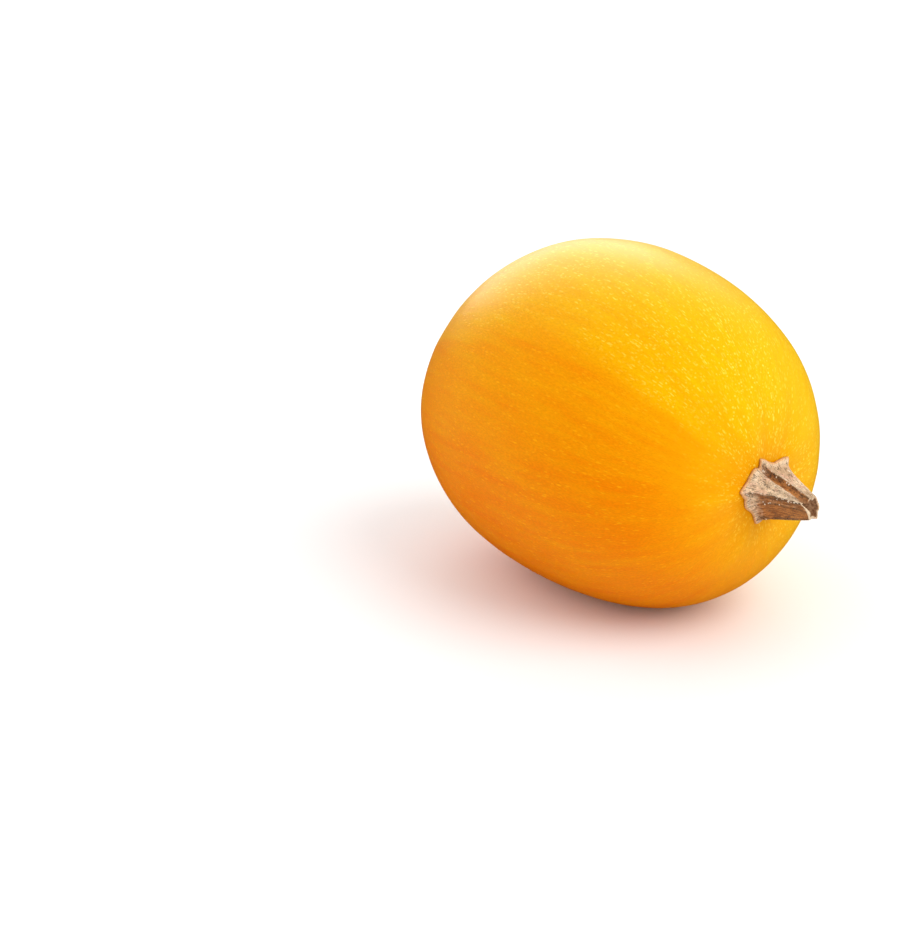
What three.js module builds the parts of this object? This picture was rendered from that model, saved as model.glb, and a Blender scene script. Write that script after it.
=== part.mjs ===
// Spaghetti squash: one whole fruit lying on its side, with its woody stem.
// Millimetres, +Z up. The fruit's long axis lies along X and the stem points to +X.
// The origin is the centre of the small flat spot that the fruit rests on.

import * as THREE from 'three';
import { mergeVertices } from 'three/addons/utils/BufferGeometryUtils.js';

// ---------------------------------------------------------------- driving sizes

const HALF_LENGTH = 103.5; // middle of the fruit to either pole, before the stem dimple
const HALF_WIDTH = 86.0; // axis to skin at the middle

// How the fruit departs from a plain ellipsoid
const FULLNESS = 0.035; // the shoulders stand out a little
const FULLNESS_TO_STEM = 0.033; // and more at the stem end
const SPREAD_TO_STEM = 0.012; // the stem end is a shade wider than the blossom end
const BELLY = { y: 1.0, z: 8.0 }; // the middle bows off the line between the poles
const BELLY_TO_STEM = { y: -0.9, z: -3.5 }; // less so towards the stem

// Stem end and blossom end
const STEM_DIMPLE = { depth: 3.2, radius: 19.0 };
const RIBS = { height: 0.6, count: 5, angle: 0.576, from: 24.0, spread: 17.0 };
const BLOSSOM_DIMPLE = { depth: 1.6, radius: 9.0 };
const BLOSSOM_BUTTON = { height: 0.7, radius: 3.2 };

// The flat spot underneath
const GROUND_SPOT_DEPTH = 1.6;

// Stem
const STEM_GAP = 0.3; // clear space between stem and skin
const STEM_LENGTH = 32.5;
const STEM_CENTRE = { y: 3.0, z: -0.5 };
const STEM_LEAN = { y: -2.3, z: 0.9 }; // where the tip ends up beside the foot
const STEM_SAG = { y: 0.2, z: -0.5 }; // how far the middle bows out
const STEM_RIDGE_TIP = 5.2; // ridge radius at the cut end
const STEM_RIDGE_GROWTH = 10.0; // what the ridges gain towards the foot
const STEM_FOOT_FLARE = 2.6; // extra spread right at the foot
const STEM_FLARE_REACH = 0.08; // as a share of the stem's length
const STEM_LIP = 0.9; // thickness of the foot's thin edge
const STEM_GROOVE = { foot: 0.27, tip: 0.24 }; // groove depth as a share of the radius

// Its broken end: shares are of the stem's length, angles are in degrees round the axis
const STEM_CUT = { share: 0.975, tilt: 0.03, angle: 255 };
const STEM_NOTCH = { depth: 0.09, angle: 140, width: 24 }; // the lowest part of the break
const STEM_SCOOP = { depth: 0.5, angle: 126, width: 17, from: 0.62 }; // its open side
const STEM_WALL = { thin: 1.0, more: 0.8, angle: 212, width: 45 }; // round the hollow
const STEM_HOLLOW_DEPTH = 4.8;

// The ridges: where each foot stands round the axis, how far it twists by the tip and how
// far its middle bends aside, all in degrees; its reach beside the others at the foot and
// the tip; its height, 1 for the main ones; and how full the groove beyond it is
const RIDGES = [
  { foot: 8, twist: -14, bend: 0, reach: 1.0, tipReach: 0.98, height: 0.6, groove: 0.6 },
  { foot: 46, twist: 14, bend: -2, reach: 1.04, tipReach: 1.0, height: 1, groove: 1 },
  { foot: 108, twist: -4, bend: -2, reach: 1.0, tipReach: 1.0, height: 1, groove: 0.75 },
  { foot: 123, twist: 18, bend: -3, reach: 0.98, tipReach: 1.0, height: 0.5, groove: 0.55 },
  { foot: 170, twist: -20, bend: -4, reach: 1.03, tipReach: 1.08, height: 1, groove: 0.6 },
  { foot: 203, twist: -13, bend: -16, reach: 0.95, tipReach: 0.84, height: 0.45, groove: 0.75 },
  { foot: 246, twist: -8, bend: -10, reach: 0.93, tipReach: 1.08, height: 1, groove: 1 },
  { foot: 316, twist: -20, bend: 0, reach: 0.97, tipReach: 1.15, height: 1, groove: 1 },
];

// How finely the solids are faceted
const SKIN_ROUND = 84;
const SKIN_RINGS = 52;
const STEM_ROUND = 72;
const STEM_RINGS = 20;
const STEM_FOOT_RINGS = 5;
const HOLLOW_RINGS = 5;

// ---------------------------------------------------------------- the skin

const TURN = 2 * Math.PI;
const bell = (distance, radius) => Math.exp(-((distance / radius) ** 2));

/** Smooth outline of the fruit without its small features, centred on the fruit. */
function plainSkin(along, around) {
  const side = Math.sin(along);
  const toStem = Math.cos(along);
  const full = 1 + (FULLNESS + FULLNESS_TO_STEM * toStem) * Math.sin(2 * along) ** 2;
  const radius = HALF_WIDTH * side * full * (1 + SPREAD_TO_STEM * toStem);
  return new THREE.Vector3(
    HALF_LENGTH * toStem * full,
    radius * Math.cos(around) + (BELLY.y + BELLY_TO_STEM.y * toStem) * side ** 2,
    radius * Math.sin(around) + (BELLY.z + BELLY_TO_STEM.z * toStem) * side ** 2,
  );
}

/** How far the small features push the skin out (or in, if negative). */
function skinRelief(along, around) {
  const fromPole = HALF_WIDTH * Math.sin(along);
  if (along > Math.PI / 2) {
    const dimple = BLOSSOM_DIMPLE.depth * bell(fromPole, BLOSSOM_DIMPLE.radius);
    return BLOSSOM_BUTTON.height * bell(fromPole, BLOSSOM_BUTTON.radius) - dimple;
  }
  const turn = RIBS.count * (around - RIBS.angle);
  const ribs = 0.6 * Math.cos(turn) + 0.4 * Math.cos(2 * turn);
  const ribHeight = RIBS.height * bell(fromPole - RIBS.from, RIBS.spread);
  const dimple = STEM_DIMPLE.depth * bell(fromPole, STEM_DIMPLE.radius);
  return ribHeight * ribs * Math.min(1, fromPole / RIBS.from) - dimple;
}

/** A point of the skin; along runs from the stem pole (0) to the blossom pole (pi). */
function skin(along, around) {
  const outward = new THREE.Vector3(
    Math.cos(along),
    Math.sin(along) * Math.cos(around),
    Math.sin(along) * Math.sin(around),
  );
  return plainSkin(along, around).addScaledVector(outward, skinRelief(along, around));
}

/** How far along X the skin lies at a place beside the stem pole. */
function skinReach(y, z) {
  const scale = HALF_WIDTH * (1 + SPREAD_TO_STEM);
  let u = y / scale;
  let v = z / scale;
  let point = skin(0, 0);
  for (let step = 0; step < 16; step += 1) {
    point = skin(Math.hypot(u, v), Math.atan2(v, u));
    u += (y - point.y) / scale;
    v += (z - point.z) / scale;
  }
  return point.x;
}

/** The middle of the flat spot, in the fruit's own centred frame. */
function findGroundSpot() {
  const lowest = { z: 0 };
  const samples = [];
  for (let i = 1; i < 180; i += 1) {
    for (let j = 0; j < 360; j += 1) {
      const point = skin((Math.PI * i) / 180, (Math.PI * j) / 180);
      samples.push(point);
      lowest.z = Math.min(lowest.z, point.z);
    }
  }
  const height = lowest.z + GROUND_SPOT_DEPTH;
  const under = new THREE.Box3().setFromPoints(samples.filter((point) => point.z < height));
  const middle = under.getCenter(new THREE.Vector3());
  return new THREE.Vector3(middle.x, middle.y, height);
}

// ---------------------------------------------------------------- mesh building

// Round geometries turn about Y, and the squash lies along X, so their Y becomes X here.
const turnOf = (vertex) => Math.atan2(vertex.x, vertex.z);

/** Moves every vertex of a geometry, then welds its seams into one closed surface. */
function reshape(geometry, move) {
  const position = geometry.getAttribute('position');
  const vertex = new THREE.Vector3();
  for (let i = 0; i < position.count; i += 1) {
    vertex.fromBufferAttribute(position, i);
    position.setXYZ(i, ...move(vertex));
  }
  geometry.deleteAttribute('normal');
  geometry.deleteAttribute('uv');
  const welded = mergeVertices(geometry);
  const index = Array.from(welded.getIndex().array);
  const faces = [];
  for (let i = 0; i < index.length; i += 3) {
    const corners = index.slice(i, i + 3);
    if (new Set(corners).size === 3) faces.push(...corners);
  }
  welded.setIndex(faces);
  welded.computeVertexNormals();
  return welded;
}

/** The fruit: skin and flesh are one solid, cut flat where it rests. */
function makeBody(ground) {
  return reshape(new THREE.SphereGeometry(1, SKIN_ROUND, SKIN_RINGS), (vertex) => {
    // rings lie closer together near the poles, where the small features are
    const share = Math.acos(THREE.MathUtils.clamp(vertex.y, -1, 1)) / Math.PI;
    const along = Math.PI * (share - 0.05 * Math.sin(TURN * share));
    const point = skin(along, turnOf(vertex)).sub(ground);
    point.z = Math.max(point.z, 0);
    return point;
  });
}

// ---------------------------------------------------------------- the stem

/** Middle of the stem at a share of its length, 0 at the foot and 1 at the tip. */
function stemCentre(share) {
  const bow = 4 * share * (1 - share);
  return new THREE.Vector3(
    skinReach(STEM_CENTRE.y, STEM_CENTRE.z) + STEM_LENGTH * share,
    STEM_CENTRE.y + STEM_LEAN.y * share + STEM_SAG.y * bow,
    STEM_CENTRE.z + STEM_LEAN.z * share + STEM_SAG.z * bow,
  );
}

/** 1 in one direction about the stem, falling to 0 away from it; degrees. */
function facing(around, angle, width) {
  const { degToRad, euclideanModulo } = THREE.MathUtils;
  const away = euclideanModulo(around - degToRad(angle) + Math.PI, TURN) - Math.PI;
  return bell(away, degToRad(width));
}

/** Radius of the stem in one direction: ridges with hollow grooves between them. */
function stemRadius(share, around) {
  const { degToRad, euclideanModulo, lerp, smoothstep } = THREE.MathUtils;
  const bow = 4 * share * (1 - share);
  const angles = RIDGES.map(({ foot, twist, bend }) => degToRad(foot + twist * share + bend * bow));
  const turn = euclideanModulo(around - angles[0], TURN) + angles[0];
  const left = angles.findLastIndex((ridgeAngle) => ridgeAngle <= turn);
  const right = (left + 1) % RIDGES.length;
  const between = (turn - angles[left]) / euclideanModulo(angles[right] - angles[left], TURN);
  const mixed = (size) => lerp(RIDGES[left][size], RIDGES[right][size], between);

  const dip = RIDGES[left].groove * Math.sin(Math.PI * between) ** 1.25;
  const crest = mixed('height') * (1 - dip);
  const depth = lerp(STEM_GROOVE.foot, STEM_GROOVE.tip, share) * (1 - crest);
  const ridge = STEM_RIDGE_TIP + STEM_RIDGE_GROWTH * (1 - share)
    + STEM_FOOT_FLARE * Math.exp(-share / STEM_FLARE_REACH);
  const scoop = STEM_SCOOP.depth * facing(around, STEM_SCOOP.angle, STEM_SCOOP.width)
    * smoothstep(share, STEM_SCOOP.from, 1);
  return ridge * lerp(mixed('reach'), mixed('tipReach'), share) * (1 - depth) * (1 - scoop);
}

/** Share of the stem's length where it ends in one direction; lower at the notch. */
function cutShare(around) {
  const tilt = STEM_CUT.tilt * Math.cos(around - THREE.MathUtils.degToRad(STEM_CUT.angle));
  const notch = STEM_NOTCH.depth * facing(around, STEM_NOTCH.angle, STEM_NOTCH.width);
  return STEM_CUT.share + tilt - notch;
}

/** A point at a radius from the middle of the stem. */
function beside(centre, radius, around) {
  return new THREE.Vector3(
    centre.x,
    centre.y + radius * Math.cos(around),
    centre.z + radius * Math.sin(around),
  );
}

/** Underside of the foot, which follows the skin; share runs from its middle to its edge. */
function underside(share, around) {
  const point = beside(stemCentre(0), stemRadius(0, around) * share, around);
  point.x = skinReach(point.y, point.z) + STEM_GAP;
  return point;
}

/** Outside of the stem; share runs from the foot's thin edge to the cut. */
function outside(share, around) {
  const rise = share ** 1.4;
  const height = rise * cutShare(around);
  const point = beside(stemCentre(height), stemRadius(height, around), around);
  const lip = underside(1, around).x + STEM_LIP - stemCentre(0).x;
  point.x += lip * (1 - rise) ** 5;
  return point;
}

/** Inside of the hollow end; share runs from the rim of the cut to the floor's middle. */
function hollow(share, around) {
  const height = cutShare(around);
  const outer = stemRadius(height, around);
  const wall = STEM_WALL.thin + STEM_WALL.more * facing(around, STEM_WALL.angle, STEM_WALL.width);
  const narrowing = Math.cos((Math.PI / 2) * share ** 1.5);
  const inner = Math.max(outer - wall, 0.45 * outer);
  const point = beside(stemCentre(height), inner * narrowing, around);
  const floor = stemCentre(STEM_CUT.share).x - STEM_HOLLOW_DEPTH;
  point.x = THREE.MathUtils.lerp(point.x, floor, share ** 0.8);
  if (share === 1) point.copy(beside(stemCentre(STEM_CUT.share), 0, 0)).setX(floor);
  return point;
}

/** The woody stem: flared foot shaped to the skin, ridges, broken hollow end. */
function makeStem(ground) {
  const stretch = (make, rings, first) => Array.from(
    { length: rings + 1 - first },
    (_, i) => ({ make, share: (i + first) / rings }),
  );
  const outline = [
    ...stretch(underside, STEM_FOOT_RINGS, 0),
    ...stretch(outside, STEM_RINGS, 0),
    ...stretch(hollow, HOLLOW_RINGS, 0),
  ];
  // each point of the lathe's outline stands for one ring, and its height is the ring's number
  const onAxis = (row) => row === 0 || row === outline.length - 1;
  const rows = outline.map((_, row) => new THREE.Vector2(onAxis(row) ? 0 : 1, row));
  return reshape(new THREE.LatheGeometry(rows, STEM_ROUND), (vertex) => {
    const { make, share } = outline[Math.round(vertex.y)];
    return make(share, turnOf(vertex)).sub(ground);
  });
}

// ---------------------------------------------------------------- assembly

function namedMesh(name, geometry, color, roughness) {
  const material = new THREE.MeshStandardMaterial({ color, roughness, metalness: 0 });
  const mesh = new THREE.Mesh(geometry, material);
  mesh.name = name;
  return mesh;
}

const ground = findGroundSpot();
const squash = new THREE.Group();
squash.name = 'spaghetti_squash';
squash.add(namedMesh('squash_body', makeBody(ground), 0xf2ac12, 0.42));
squash.add(namedMesh('stem', makeStem(ground), 0xa9825a, 0.85));

export default squash;
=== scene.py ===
"""Spaghetti squash: one whole fruit with its woody stem, lying on a pale table.

Everything is in metres. The fruit's long axis lies along X with the stem towards +X,
+Z is up, and the origin is the middle of the flat spot that the fruit rests on.
"""

import logging
import math
from collections.abc import Callable
from dataclasses import dataclass, field
from enum import Enum
from typing import NamedTuple

import bpy
import numpy as np
from mathutils import Matrix, Vector


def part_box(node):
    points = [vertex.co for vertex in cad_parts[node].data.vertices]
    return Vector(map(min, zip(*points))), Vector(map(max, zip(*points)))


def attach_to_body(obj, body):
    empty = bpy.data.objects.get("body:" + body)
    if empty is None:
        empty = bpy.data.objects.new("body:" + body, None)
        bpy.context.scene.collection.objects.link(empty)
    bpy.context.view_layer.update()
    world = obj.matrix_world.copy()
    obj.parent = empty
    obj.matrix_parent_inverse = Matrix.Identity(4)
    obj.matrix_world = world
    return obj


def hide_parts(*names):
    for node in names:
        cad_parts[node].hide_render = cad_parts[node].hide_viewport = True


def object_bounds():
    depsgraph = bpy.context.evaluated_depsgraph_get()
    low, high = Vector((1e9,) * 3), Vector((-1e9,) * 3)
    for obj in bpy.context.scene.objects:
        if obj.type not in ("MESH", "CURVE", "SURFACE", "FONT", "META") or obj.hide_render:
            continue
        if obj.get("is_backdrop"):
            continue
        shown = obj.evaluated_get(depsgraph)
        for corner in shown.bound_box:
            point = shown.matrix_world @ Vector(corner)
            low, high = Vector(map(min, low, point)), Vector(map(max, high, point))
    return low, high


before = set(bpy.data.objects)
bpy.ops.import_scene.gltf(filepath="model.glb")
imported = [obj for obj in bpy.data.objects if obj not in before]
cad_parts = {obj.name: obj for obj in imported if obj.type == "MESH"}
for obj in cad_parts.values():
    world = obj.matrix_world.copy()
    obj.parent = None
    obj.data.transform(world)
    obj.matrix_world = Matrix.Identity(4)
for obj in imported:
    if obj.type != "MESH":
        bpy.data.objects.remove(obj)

log = logging.getLogger("spaghetti_squash")

TURN = 2.0 * math.pi


class Node(Enum):
    """The CAD nodes that the modelled pieces stand for."""

    BODY = "squash_body"
    STEM = "stem"


class Slot(Enum):
    """The record's material slots."""

    RIND = "rind"
    DRY_STEM = "dry_stem"


class Mark(Enum):
    """Values kept on the meshes' points, which the finishes read."""

    PLACE = "skin_place"
    # Partly the rind's own colour, partly painted light and shade: yellower on top, deeper orange underneath.
    TONE_AND_SHADE = "tone"
    POLE = "pole"
    RIB = "rib"
    # Painted shade on the rind round the stem's foot.
    STEM_SHADE = "collar"
    SCAR = "scar"
    GROUND = "ground"
    FACE = "face"
    SPECK = "speck"
    HATCH = "hatch"
    HEIGHT = "height"
    RIM = "rim"
    HOLLOW = "hollow"
    WART = "wart"


# ------------------------------------------------------------------ shared arithmetic


def bell(distance: np.ndarray | float, radius: np.ndarray | float) -> np.ndarray:
    """Returns 1 at no distance, falling smoothly to 0 some way past the radius."""
    return np.exp(-((distance / radius) ** 2))


def smooth_step(low: float, high: float, value: np.ndarray) -> np.ndarray:
    """Returns 0 at low and 1 at high, the same beyond them, and a smooth rise between."""
    share = np.clip((value - low) / (high - low), 0.0, 1.0)
    return share * share * (3.0 - 2.0 * share)


def turn_from(around: np.ndarray, angle: np.ndarray | float) -> np.ndarray:
    """Returns how far angles lie beyond a given one, between half a turn each way."""
    return (around - angle + math.pi) % TURN - math.pi


def towards(around: np.ndarray, angle: float, width: float) -> np.ndarray:
    """Returns 1 at an angle in degrees, falling to 0 some way past the width on either side."""
    return bell(turn_from(around, math.radians(angle)), math.radians(width))


def on_circle(around: np.ndarray) -> np.ndarray:
    """Returns places on a circle, where a noise comes round without a seam."""
    return np.stack([np.cos(around), np.sin(around), 0.0 * around], axis=-1)


def ring_angles(count: int) -> np.ndarray:
    """Returns the angles of the points of a ring, as one row."""
    return (TURN * np.arange(count) / count)[None]


@dataclass(frozen=True)
class Noise:
    """Smooth random values in space, the same on every run.

    Attributes:
        seed: Picks one pattern of many.
        cell: Distance over which the values change.
        strength: The largest value.
        repeat: Cells after which the pattern comes again.
    """

    seed: int
    cell: float
    strength: float = 1.0
    repeat: int = 32

    def at(self, points: np.ndarray) -> np.ndarray:
        """Samples the pattern.

        Args:
            points: Places, with their coordinates in the last dimension.

        Returns:
            A value for each place, between the strength and its negative.
        """
        lattice = np.random.default_rng(self.seed).uniform(-1.0, 1.0, (self.repeat,) * 3)
        scaled = points / self.cell
        base = np.floor(scaled).astype(int)
        part = scaled - base
        part = part * part * (3.0 - 2.0 * part)
        total = np.zeros(points.shape[:-1])
        for corner in np.ndindex(2, 2, 2):
            cell = (base + np.array(corner)) % self.repeat
            weight = np.prod(np.where(corner, part, 1.0 - part), axis=-1)
            total += weight * lattice[cell[..., 0], cell[..., 1], cell[..., 2]]
        return self.strength * total


def layered(layers: tuple[Noise, ...], points: np.ndarray) -> np.ndarray:
    """Returns the sum of several noises at the given places."""
    return sum(layer.at(points) for layer in layers)


@dataclass
class RingSurface:
    """A closed surface sewn from a first point, rings of points and a last point.

    Attributes:
        rings: Points, by ring and place in the ring.
        first: The point that the first ring closes on.
        last: The point that the last ring closes on.
        marks: Values or vectors for each point of the rings, by name.
    """

    rings: np.ndarray
    first: np.ndarray
    last: np.ndarray
    marks: dict[Mark, np.ndarray] = field(default_factory=dict)

    def make(self, name: str, flip: bool = False) -> bpy.types.Object:
        """Builds the mesh object.

        Args:
            name: The piece's name.
            flip: Turns the faces round, for rings that climb towards +X.

        Returns:
            The new object, linked to the scene, with smooth faces.
        """
        count, around = self.rings.shape[:2]
        points = np.vstack([self.first[None], self.rings.reshape(-1, 3), self.last[None]])
        faces = self._faces(count, around)
        if flip:
            faces = [face[::-1] for face in faces]
        mesh = bpy.data.meshes.new(name)
        mesh.from_pydata(points.tolist(), [], faces)
        mesh.polygons.foreach_set("use_smooth", [True] * len(mesh.polygons))
        for mark, values in self.marks.items():
            self._write_mark(mesh, mark, values)
        mesh.update()
        piece = bpy.data.objects.new(name, mesh)
        bpy.context.scene.collection.objects.link(piece)
        return piece

    @staticmethod
    def _faces(count: int, around: int) -> list[tuple[int, ...]]:
        """Lists the faces of the rings and of the fans that close them.

        Args:
            count: Number of rings.
            around: Number of points in a ring.

        Returns:
            The corner numbers of each face.
        """
        faces: list[tuple[int, ...]] = []
        last = count * around + 1
        for j in range(around):
            k = (j + 1) % around
            faces.append((0, 1 + j, 1 + k))
            faces.append((last - around + j, last, last - around + k))
        for i in range(count - 1):
            low = 1 + i * around
            high = low + around
            for j in range(around):
                k = (j + 1) % around
                faces.append((low + j, high + j, high + k, low + k))
        return faces

    @staticmethod
    def _write_mark(mesh: bpy.types.Mesh, mark: Mark, values: np.ndarray) -> None:
        """Keeps one value or vector per point on the mesh.

        Args:
            mesh: The mesh that takes the values.
            mark: The name they are kept under.
            values: The values for the rings; the end points take their ring's mean.
        """
        rings = values.reshape(-1, *values.shape[2:])
        full = np.concatenate([values[:1].mean(axis=1), rings, values[-1:].mean(axis=1)])
        kind, key = ("FLOAT_VECTOR", "vector") if values.ndim == 3 else ("FLOAT", "value")
        attribute = mesh.attributes.new(mark.value, kind, "POINT")
        attribute.data.foreach_set(key, full.astype(np.float32).ravel())


# ------------------------------------------------------------------ the fruit's form


@dataclass(frozen=True)
class FruitForm:
    """The fruit's outer shape, centred on the fruit, as a formula.

    A place on it is given by two angles: along, from the stem pole (0) to the blossom
    pole (pi), and around, about the long axis from +Y towards +Z.

    Attributes:
        half_length: Half of its length.
        half_width: Half of its width.
        fullness: How far its shoulders stand out beyond an ellipse, as a share.
        fullness_to_stem: How much further they do on the stem half.
        spread_to_stem: How much wider it is towards the stem, as a share.
        belly_y: How far its middle stands off the long axis along Y.
        belly_z: How far it does along Z.
        belly_y_to_stem: How much belly_y grows towards the stem.
        belly_z_to_stem: How much belly_z does.
        dimple_depth: Depth of the hollow that the stem stands in.
        dimple_radius: Its radius.
        rib_height: Height of the ribs round the stem.
        rib_count: Their number.
        rib_angle: The angle about the long axis of the first.
        rib_from: Distance from the long axis at which they are highest.
        rib_spread: How far they fade on either side of that.
        blossom_depth: Depth of the hollow at the blossom end.
        blossom_radius: Its radius.
        button_height: Height of the button in it, where the flower was.
        button_radius: Its radius.
        ground_depth: How much of the underside the flat spot takes off.
        reach_steps: Steps taken to find a place on the skin.
        box_steps: Places looked at from pole to pole to find the form's box.
    """

    half_length: float = 0.1035
    half_width: float = 0.086
    fullness: float = 0.035
    fullness_to_stem: float = 0.033
    spread_to_stem: float = 0.012
    belly_y: float = 0.001
    belly_z: float = 0.008
    belly_y_to_stem: float = -0.0009
    belly_z_to_stem: float = -0.0035
    dimple_depth: float = 0.0032
    dimple_radius: float = 0.019
    rib_height: float = 0.0006
    rib_count: int = 5
    rib_angle: float = 0.576
    rib_from: float = 0.024
    rib_spread: float = 0.017
    blossom_depth: float = 0.0016
    blossom_radius: float = 0.009
    button_height: float = 0.0007
    button_radius: float = 0.0032
    ground_depth: float = 0.0016
    reach_steps: int = 16
    box_steps: int = 360

    def from_pole(self, along: np.ndarray) -> np.ndarray:
        """Returns the rough distance of a place from the long axis."""
        return self.half_width * np.sin(along)

    def outward(self, along: np.ndarray, around: np.ndarray) -> np.ndarray:
        """Gives the directions in which small features stand out.

        Args:
            along: Angles from the stem pole.
            around: Angles about the long axis.

        Returns:
            The directions, in the last dimension.
        """
        return np.stack(
            [
                np.cos(along) + 0.0 * around,
                np.sin(along) * np.cos(around),
                np.sin(along) * np.sin(around),
            ],
            axis=-1,
        )

    def plain(self, along: np.ndarray, around: np.ndarray) -> np.ndarray:
        """Gives the smooth outline without its small features.

        Args:
            along: Angles from the stem pole.
            around: Angles about the long axis.

        Returns:
            The points, in the last dimension.
        """
        side, to_stem = np.sin(along), np.cos(along)
        swell = self.fullness + self.fullness_to_stem * to_stem
        full = 1.0 + swell * np.sin(2.0 * along) ** 2
        radius = self.half_width * side * full * (1.0 + self.spread_to_stem * to_stem)
        belly_y = (self.belly_y + self.belly_y_to_stem * to_stem) * side**2
        belly_z = (self.belly_z + self.belly_z_to_stem * to_stem) * side**2
        return np.stack(
            [
                self.half_length * to_stem * full + 0.0 * around,
                radius * np.cos(around) + belly_y,
                radius * np.sin(around) + belly_z,
            ],
            axis=-1,
        )

    def rib(self, along: np.ndarray, around: np.ndarray) -> np.ndarray:
        """Works out how much of a rib there is.

        Args:
            along: Angles from the stem pole.
            around: Angles about the long axis.

        Returns:
            -1 in a furrow, 1 on a rib, and 0 away from the stem.
        """
        turn = self.rib_count * (around - self.rib_angle)
        wave = 0.6 * np.cos(turn) + 0.4 * np.cos(2.0 * turn)
        pole = self.from_pole(along)
        near = bell(pole - self.rib_from, self.rib_spread)
        return wave * near * np.minimum(1.0, pole / self.rib_from) * (along < math.pi / 2.0)

    def relief(self, along: np.ndarray, around: np.ndarray) -> np.ndarray:
        """Works out how far the small features stand out.

        Args:
            along: Angles from the stem pole.
            around: Angles about the long axis.

        Returns:
            Heights above the smooth outline, negative in a hollow.
        """
        pole = self.from_pole(along)
        stem_end = self.rib_height * self.rib(along, around)
        stem_end = stem_end - self.dimple_depth * bell(pole, self.dimple_radius)
        blossom_end = self.button_height * bell(pole, self.button_radius)
        blossom_end = blossom_end - self.blossom_depth * bell(pole, self.blossom_radius)
        return np.where(along > math.pi / 2.0, blossom_end + 0.0 * around, stem_end)

    def skin(self, along: np.ndarray, around: np.ndarray) -> np.ndarray:
        """Returns the points of the skin with its small features."""
        relief = self.relief(along, around)[..., None]
        return self.plain(along, around) + relief * self.outward(along, around)

    def reach(self, y: np.ndarray, z: np.ndarray) -> np.ndarray:
        """Finds how far along X the skin lies at places beside the stem pole.

        Args:
            y: Places across.
            z: Places up.

        Returns:
            The skin's X at each place.
        """
        scale = self.half_width * (1.0 + self.spread_to_stem)
        u, v = y / scale, z / scale
        for _ in range(self.reach_steps):
            point = self.skin(np.hypot(u, v), np.arctan2(v, u))
            u = u + (y - point[..., 1]) / scale
            v = v + (z - point[..., 2]) / scale
        return point[..., 0]

    def box(self) -> tuple[np.ndarray, np.ndarray]:
        """Finds the form's box, with the flat spot cut.

        Returns:
            Its lowest and highest corners.
        """
        along = np.linspace(0.0, math.pi, self.box_steps + 1)[:, None]
        points = self.skin(along, ring_angles(2 * self.box_steps)).reshape(-1, 3)
        low, high = points.min(axis=0), points.max(axis=0)
        low[2] += self.ground_depth
        return low, high


@dataclass(frozen=True)
class SkinToneAndShade:
    """How the rind's colour turns from deep orange to yellow round the fruit, partly its own colour and
    partly painted light and shade: yellower on top and towards the stem, deeper orange underneath and on the
    -Y side.

    Attributes:
        bands: Angles about the long axis in degrees, each with its tone, where 0 is
            deep orange and 1 is yellow.
        stem_reach: Distance over which the rind turns yellow towards the stem, in part painted light.
        blossom_turn: How far round the bands lie on the blossom half, in degrees.
        wander: How far the edges of the bands stray, in degrees.
        edges: The noises by which they stray.
    """

    bands: tuple[tuple[float, float], ...] = (
        (20.0, 0.95),
        (80.0, 1.0),
        (108.0, 0.84),
        (131.0, 0.62),
        (140.0, 0.35),
        (166.0, 0.25),
        (183.0, 0.10),
        (245.0, 0.06),
        (275.0, 0.30),
        (310.0, 0.65),
    )
    stem_reach: float = 0.035
    blossom_turn: float = 10.0
    wander: float = 5.0
    edges: tuple[Noise, ...] = (Noise(11, 0.45), Noise(12, 0.2, 0.5))

    def at(self, direction: np.ndarray, around: np.ndarray, pole: np.ndarray) -> np.ndarray:
        """Gives the tone.

        Args:
            direction: Outward directions, which stand for places on the fruit.
            around: Angles about the long axis.
            pole: Distances from the long axis, negative on the blossom half.

        Returns:
            Values from 0, deep orange, to 1, yellow.
        """
        turn = self.blossom_turn * smooth_step(-0.3, 0.5, -direction[..., 0])
        angle = (np.degrees(around) - turn + self.wander * layered(self.edges, direction)) % 360.0
        angles = [band[0] for band in self.bands]
        tones = [band[1] for band in self.bands]
        tone = np.interp(angle, angles, tones, period=360.0)
        near = bell(pole, self.stem_reach) * (pole >= 0.0)
        return 1.0 - (1.0 - tone) * (1.0 - near)


@dataclass(frozen=True)
class Unevenness:
    """Soft lumps and hollows that keep the fruit from looking turned on a lathe.

    Attributes:
        lumps: Wide, low lumps.
        dents: Smaller dents between them.
        ripples: Faint ripples that run along the fruit.
        ripple_stretch: How much the ripples change along the fruit beside across it.
    """

    lumps: Noise = Noise(7, 0.055, 0.0007)
    dents: Noise = Noise(8, 0.017, 0.00022)
    ripples: Noise = Noise(9, 0.16, 0.00010)
    ripple_stretch: float = 0.25

    def at(self, direction: np.ndarray, form: FruitForm, around: np.ndarray) -> np.ndarray:
        """Gives the height of the lumps.

        Args:
            direction: Outward directions, which stand for places on the fruit.
            form: The fruit's form, for its size.
            around: Angles about the long axis.

        Returns:
            Heights above the plain skin.
        """
        places = direction * form.half_width
        turns = np.stack([np.cos(around), np.sin(around), self.ripple_stretch * direction[..., 0]], axis=-1)
        return self.lumps.at(places) + self.dents.at(places) + self.ripples.at(turns)


# ------------------------------------------------------------------ the stem's form


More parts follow.
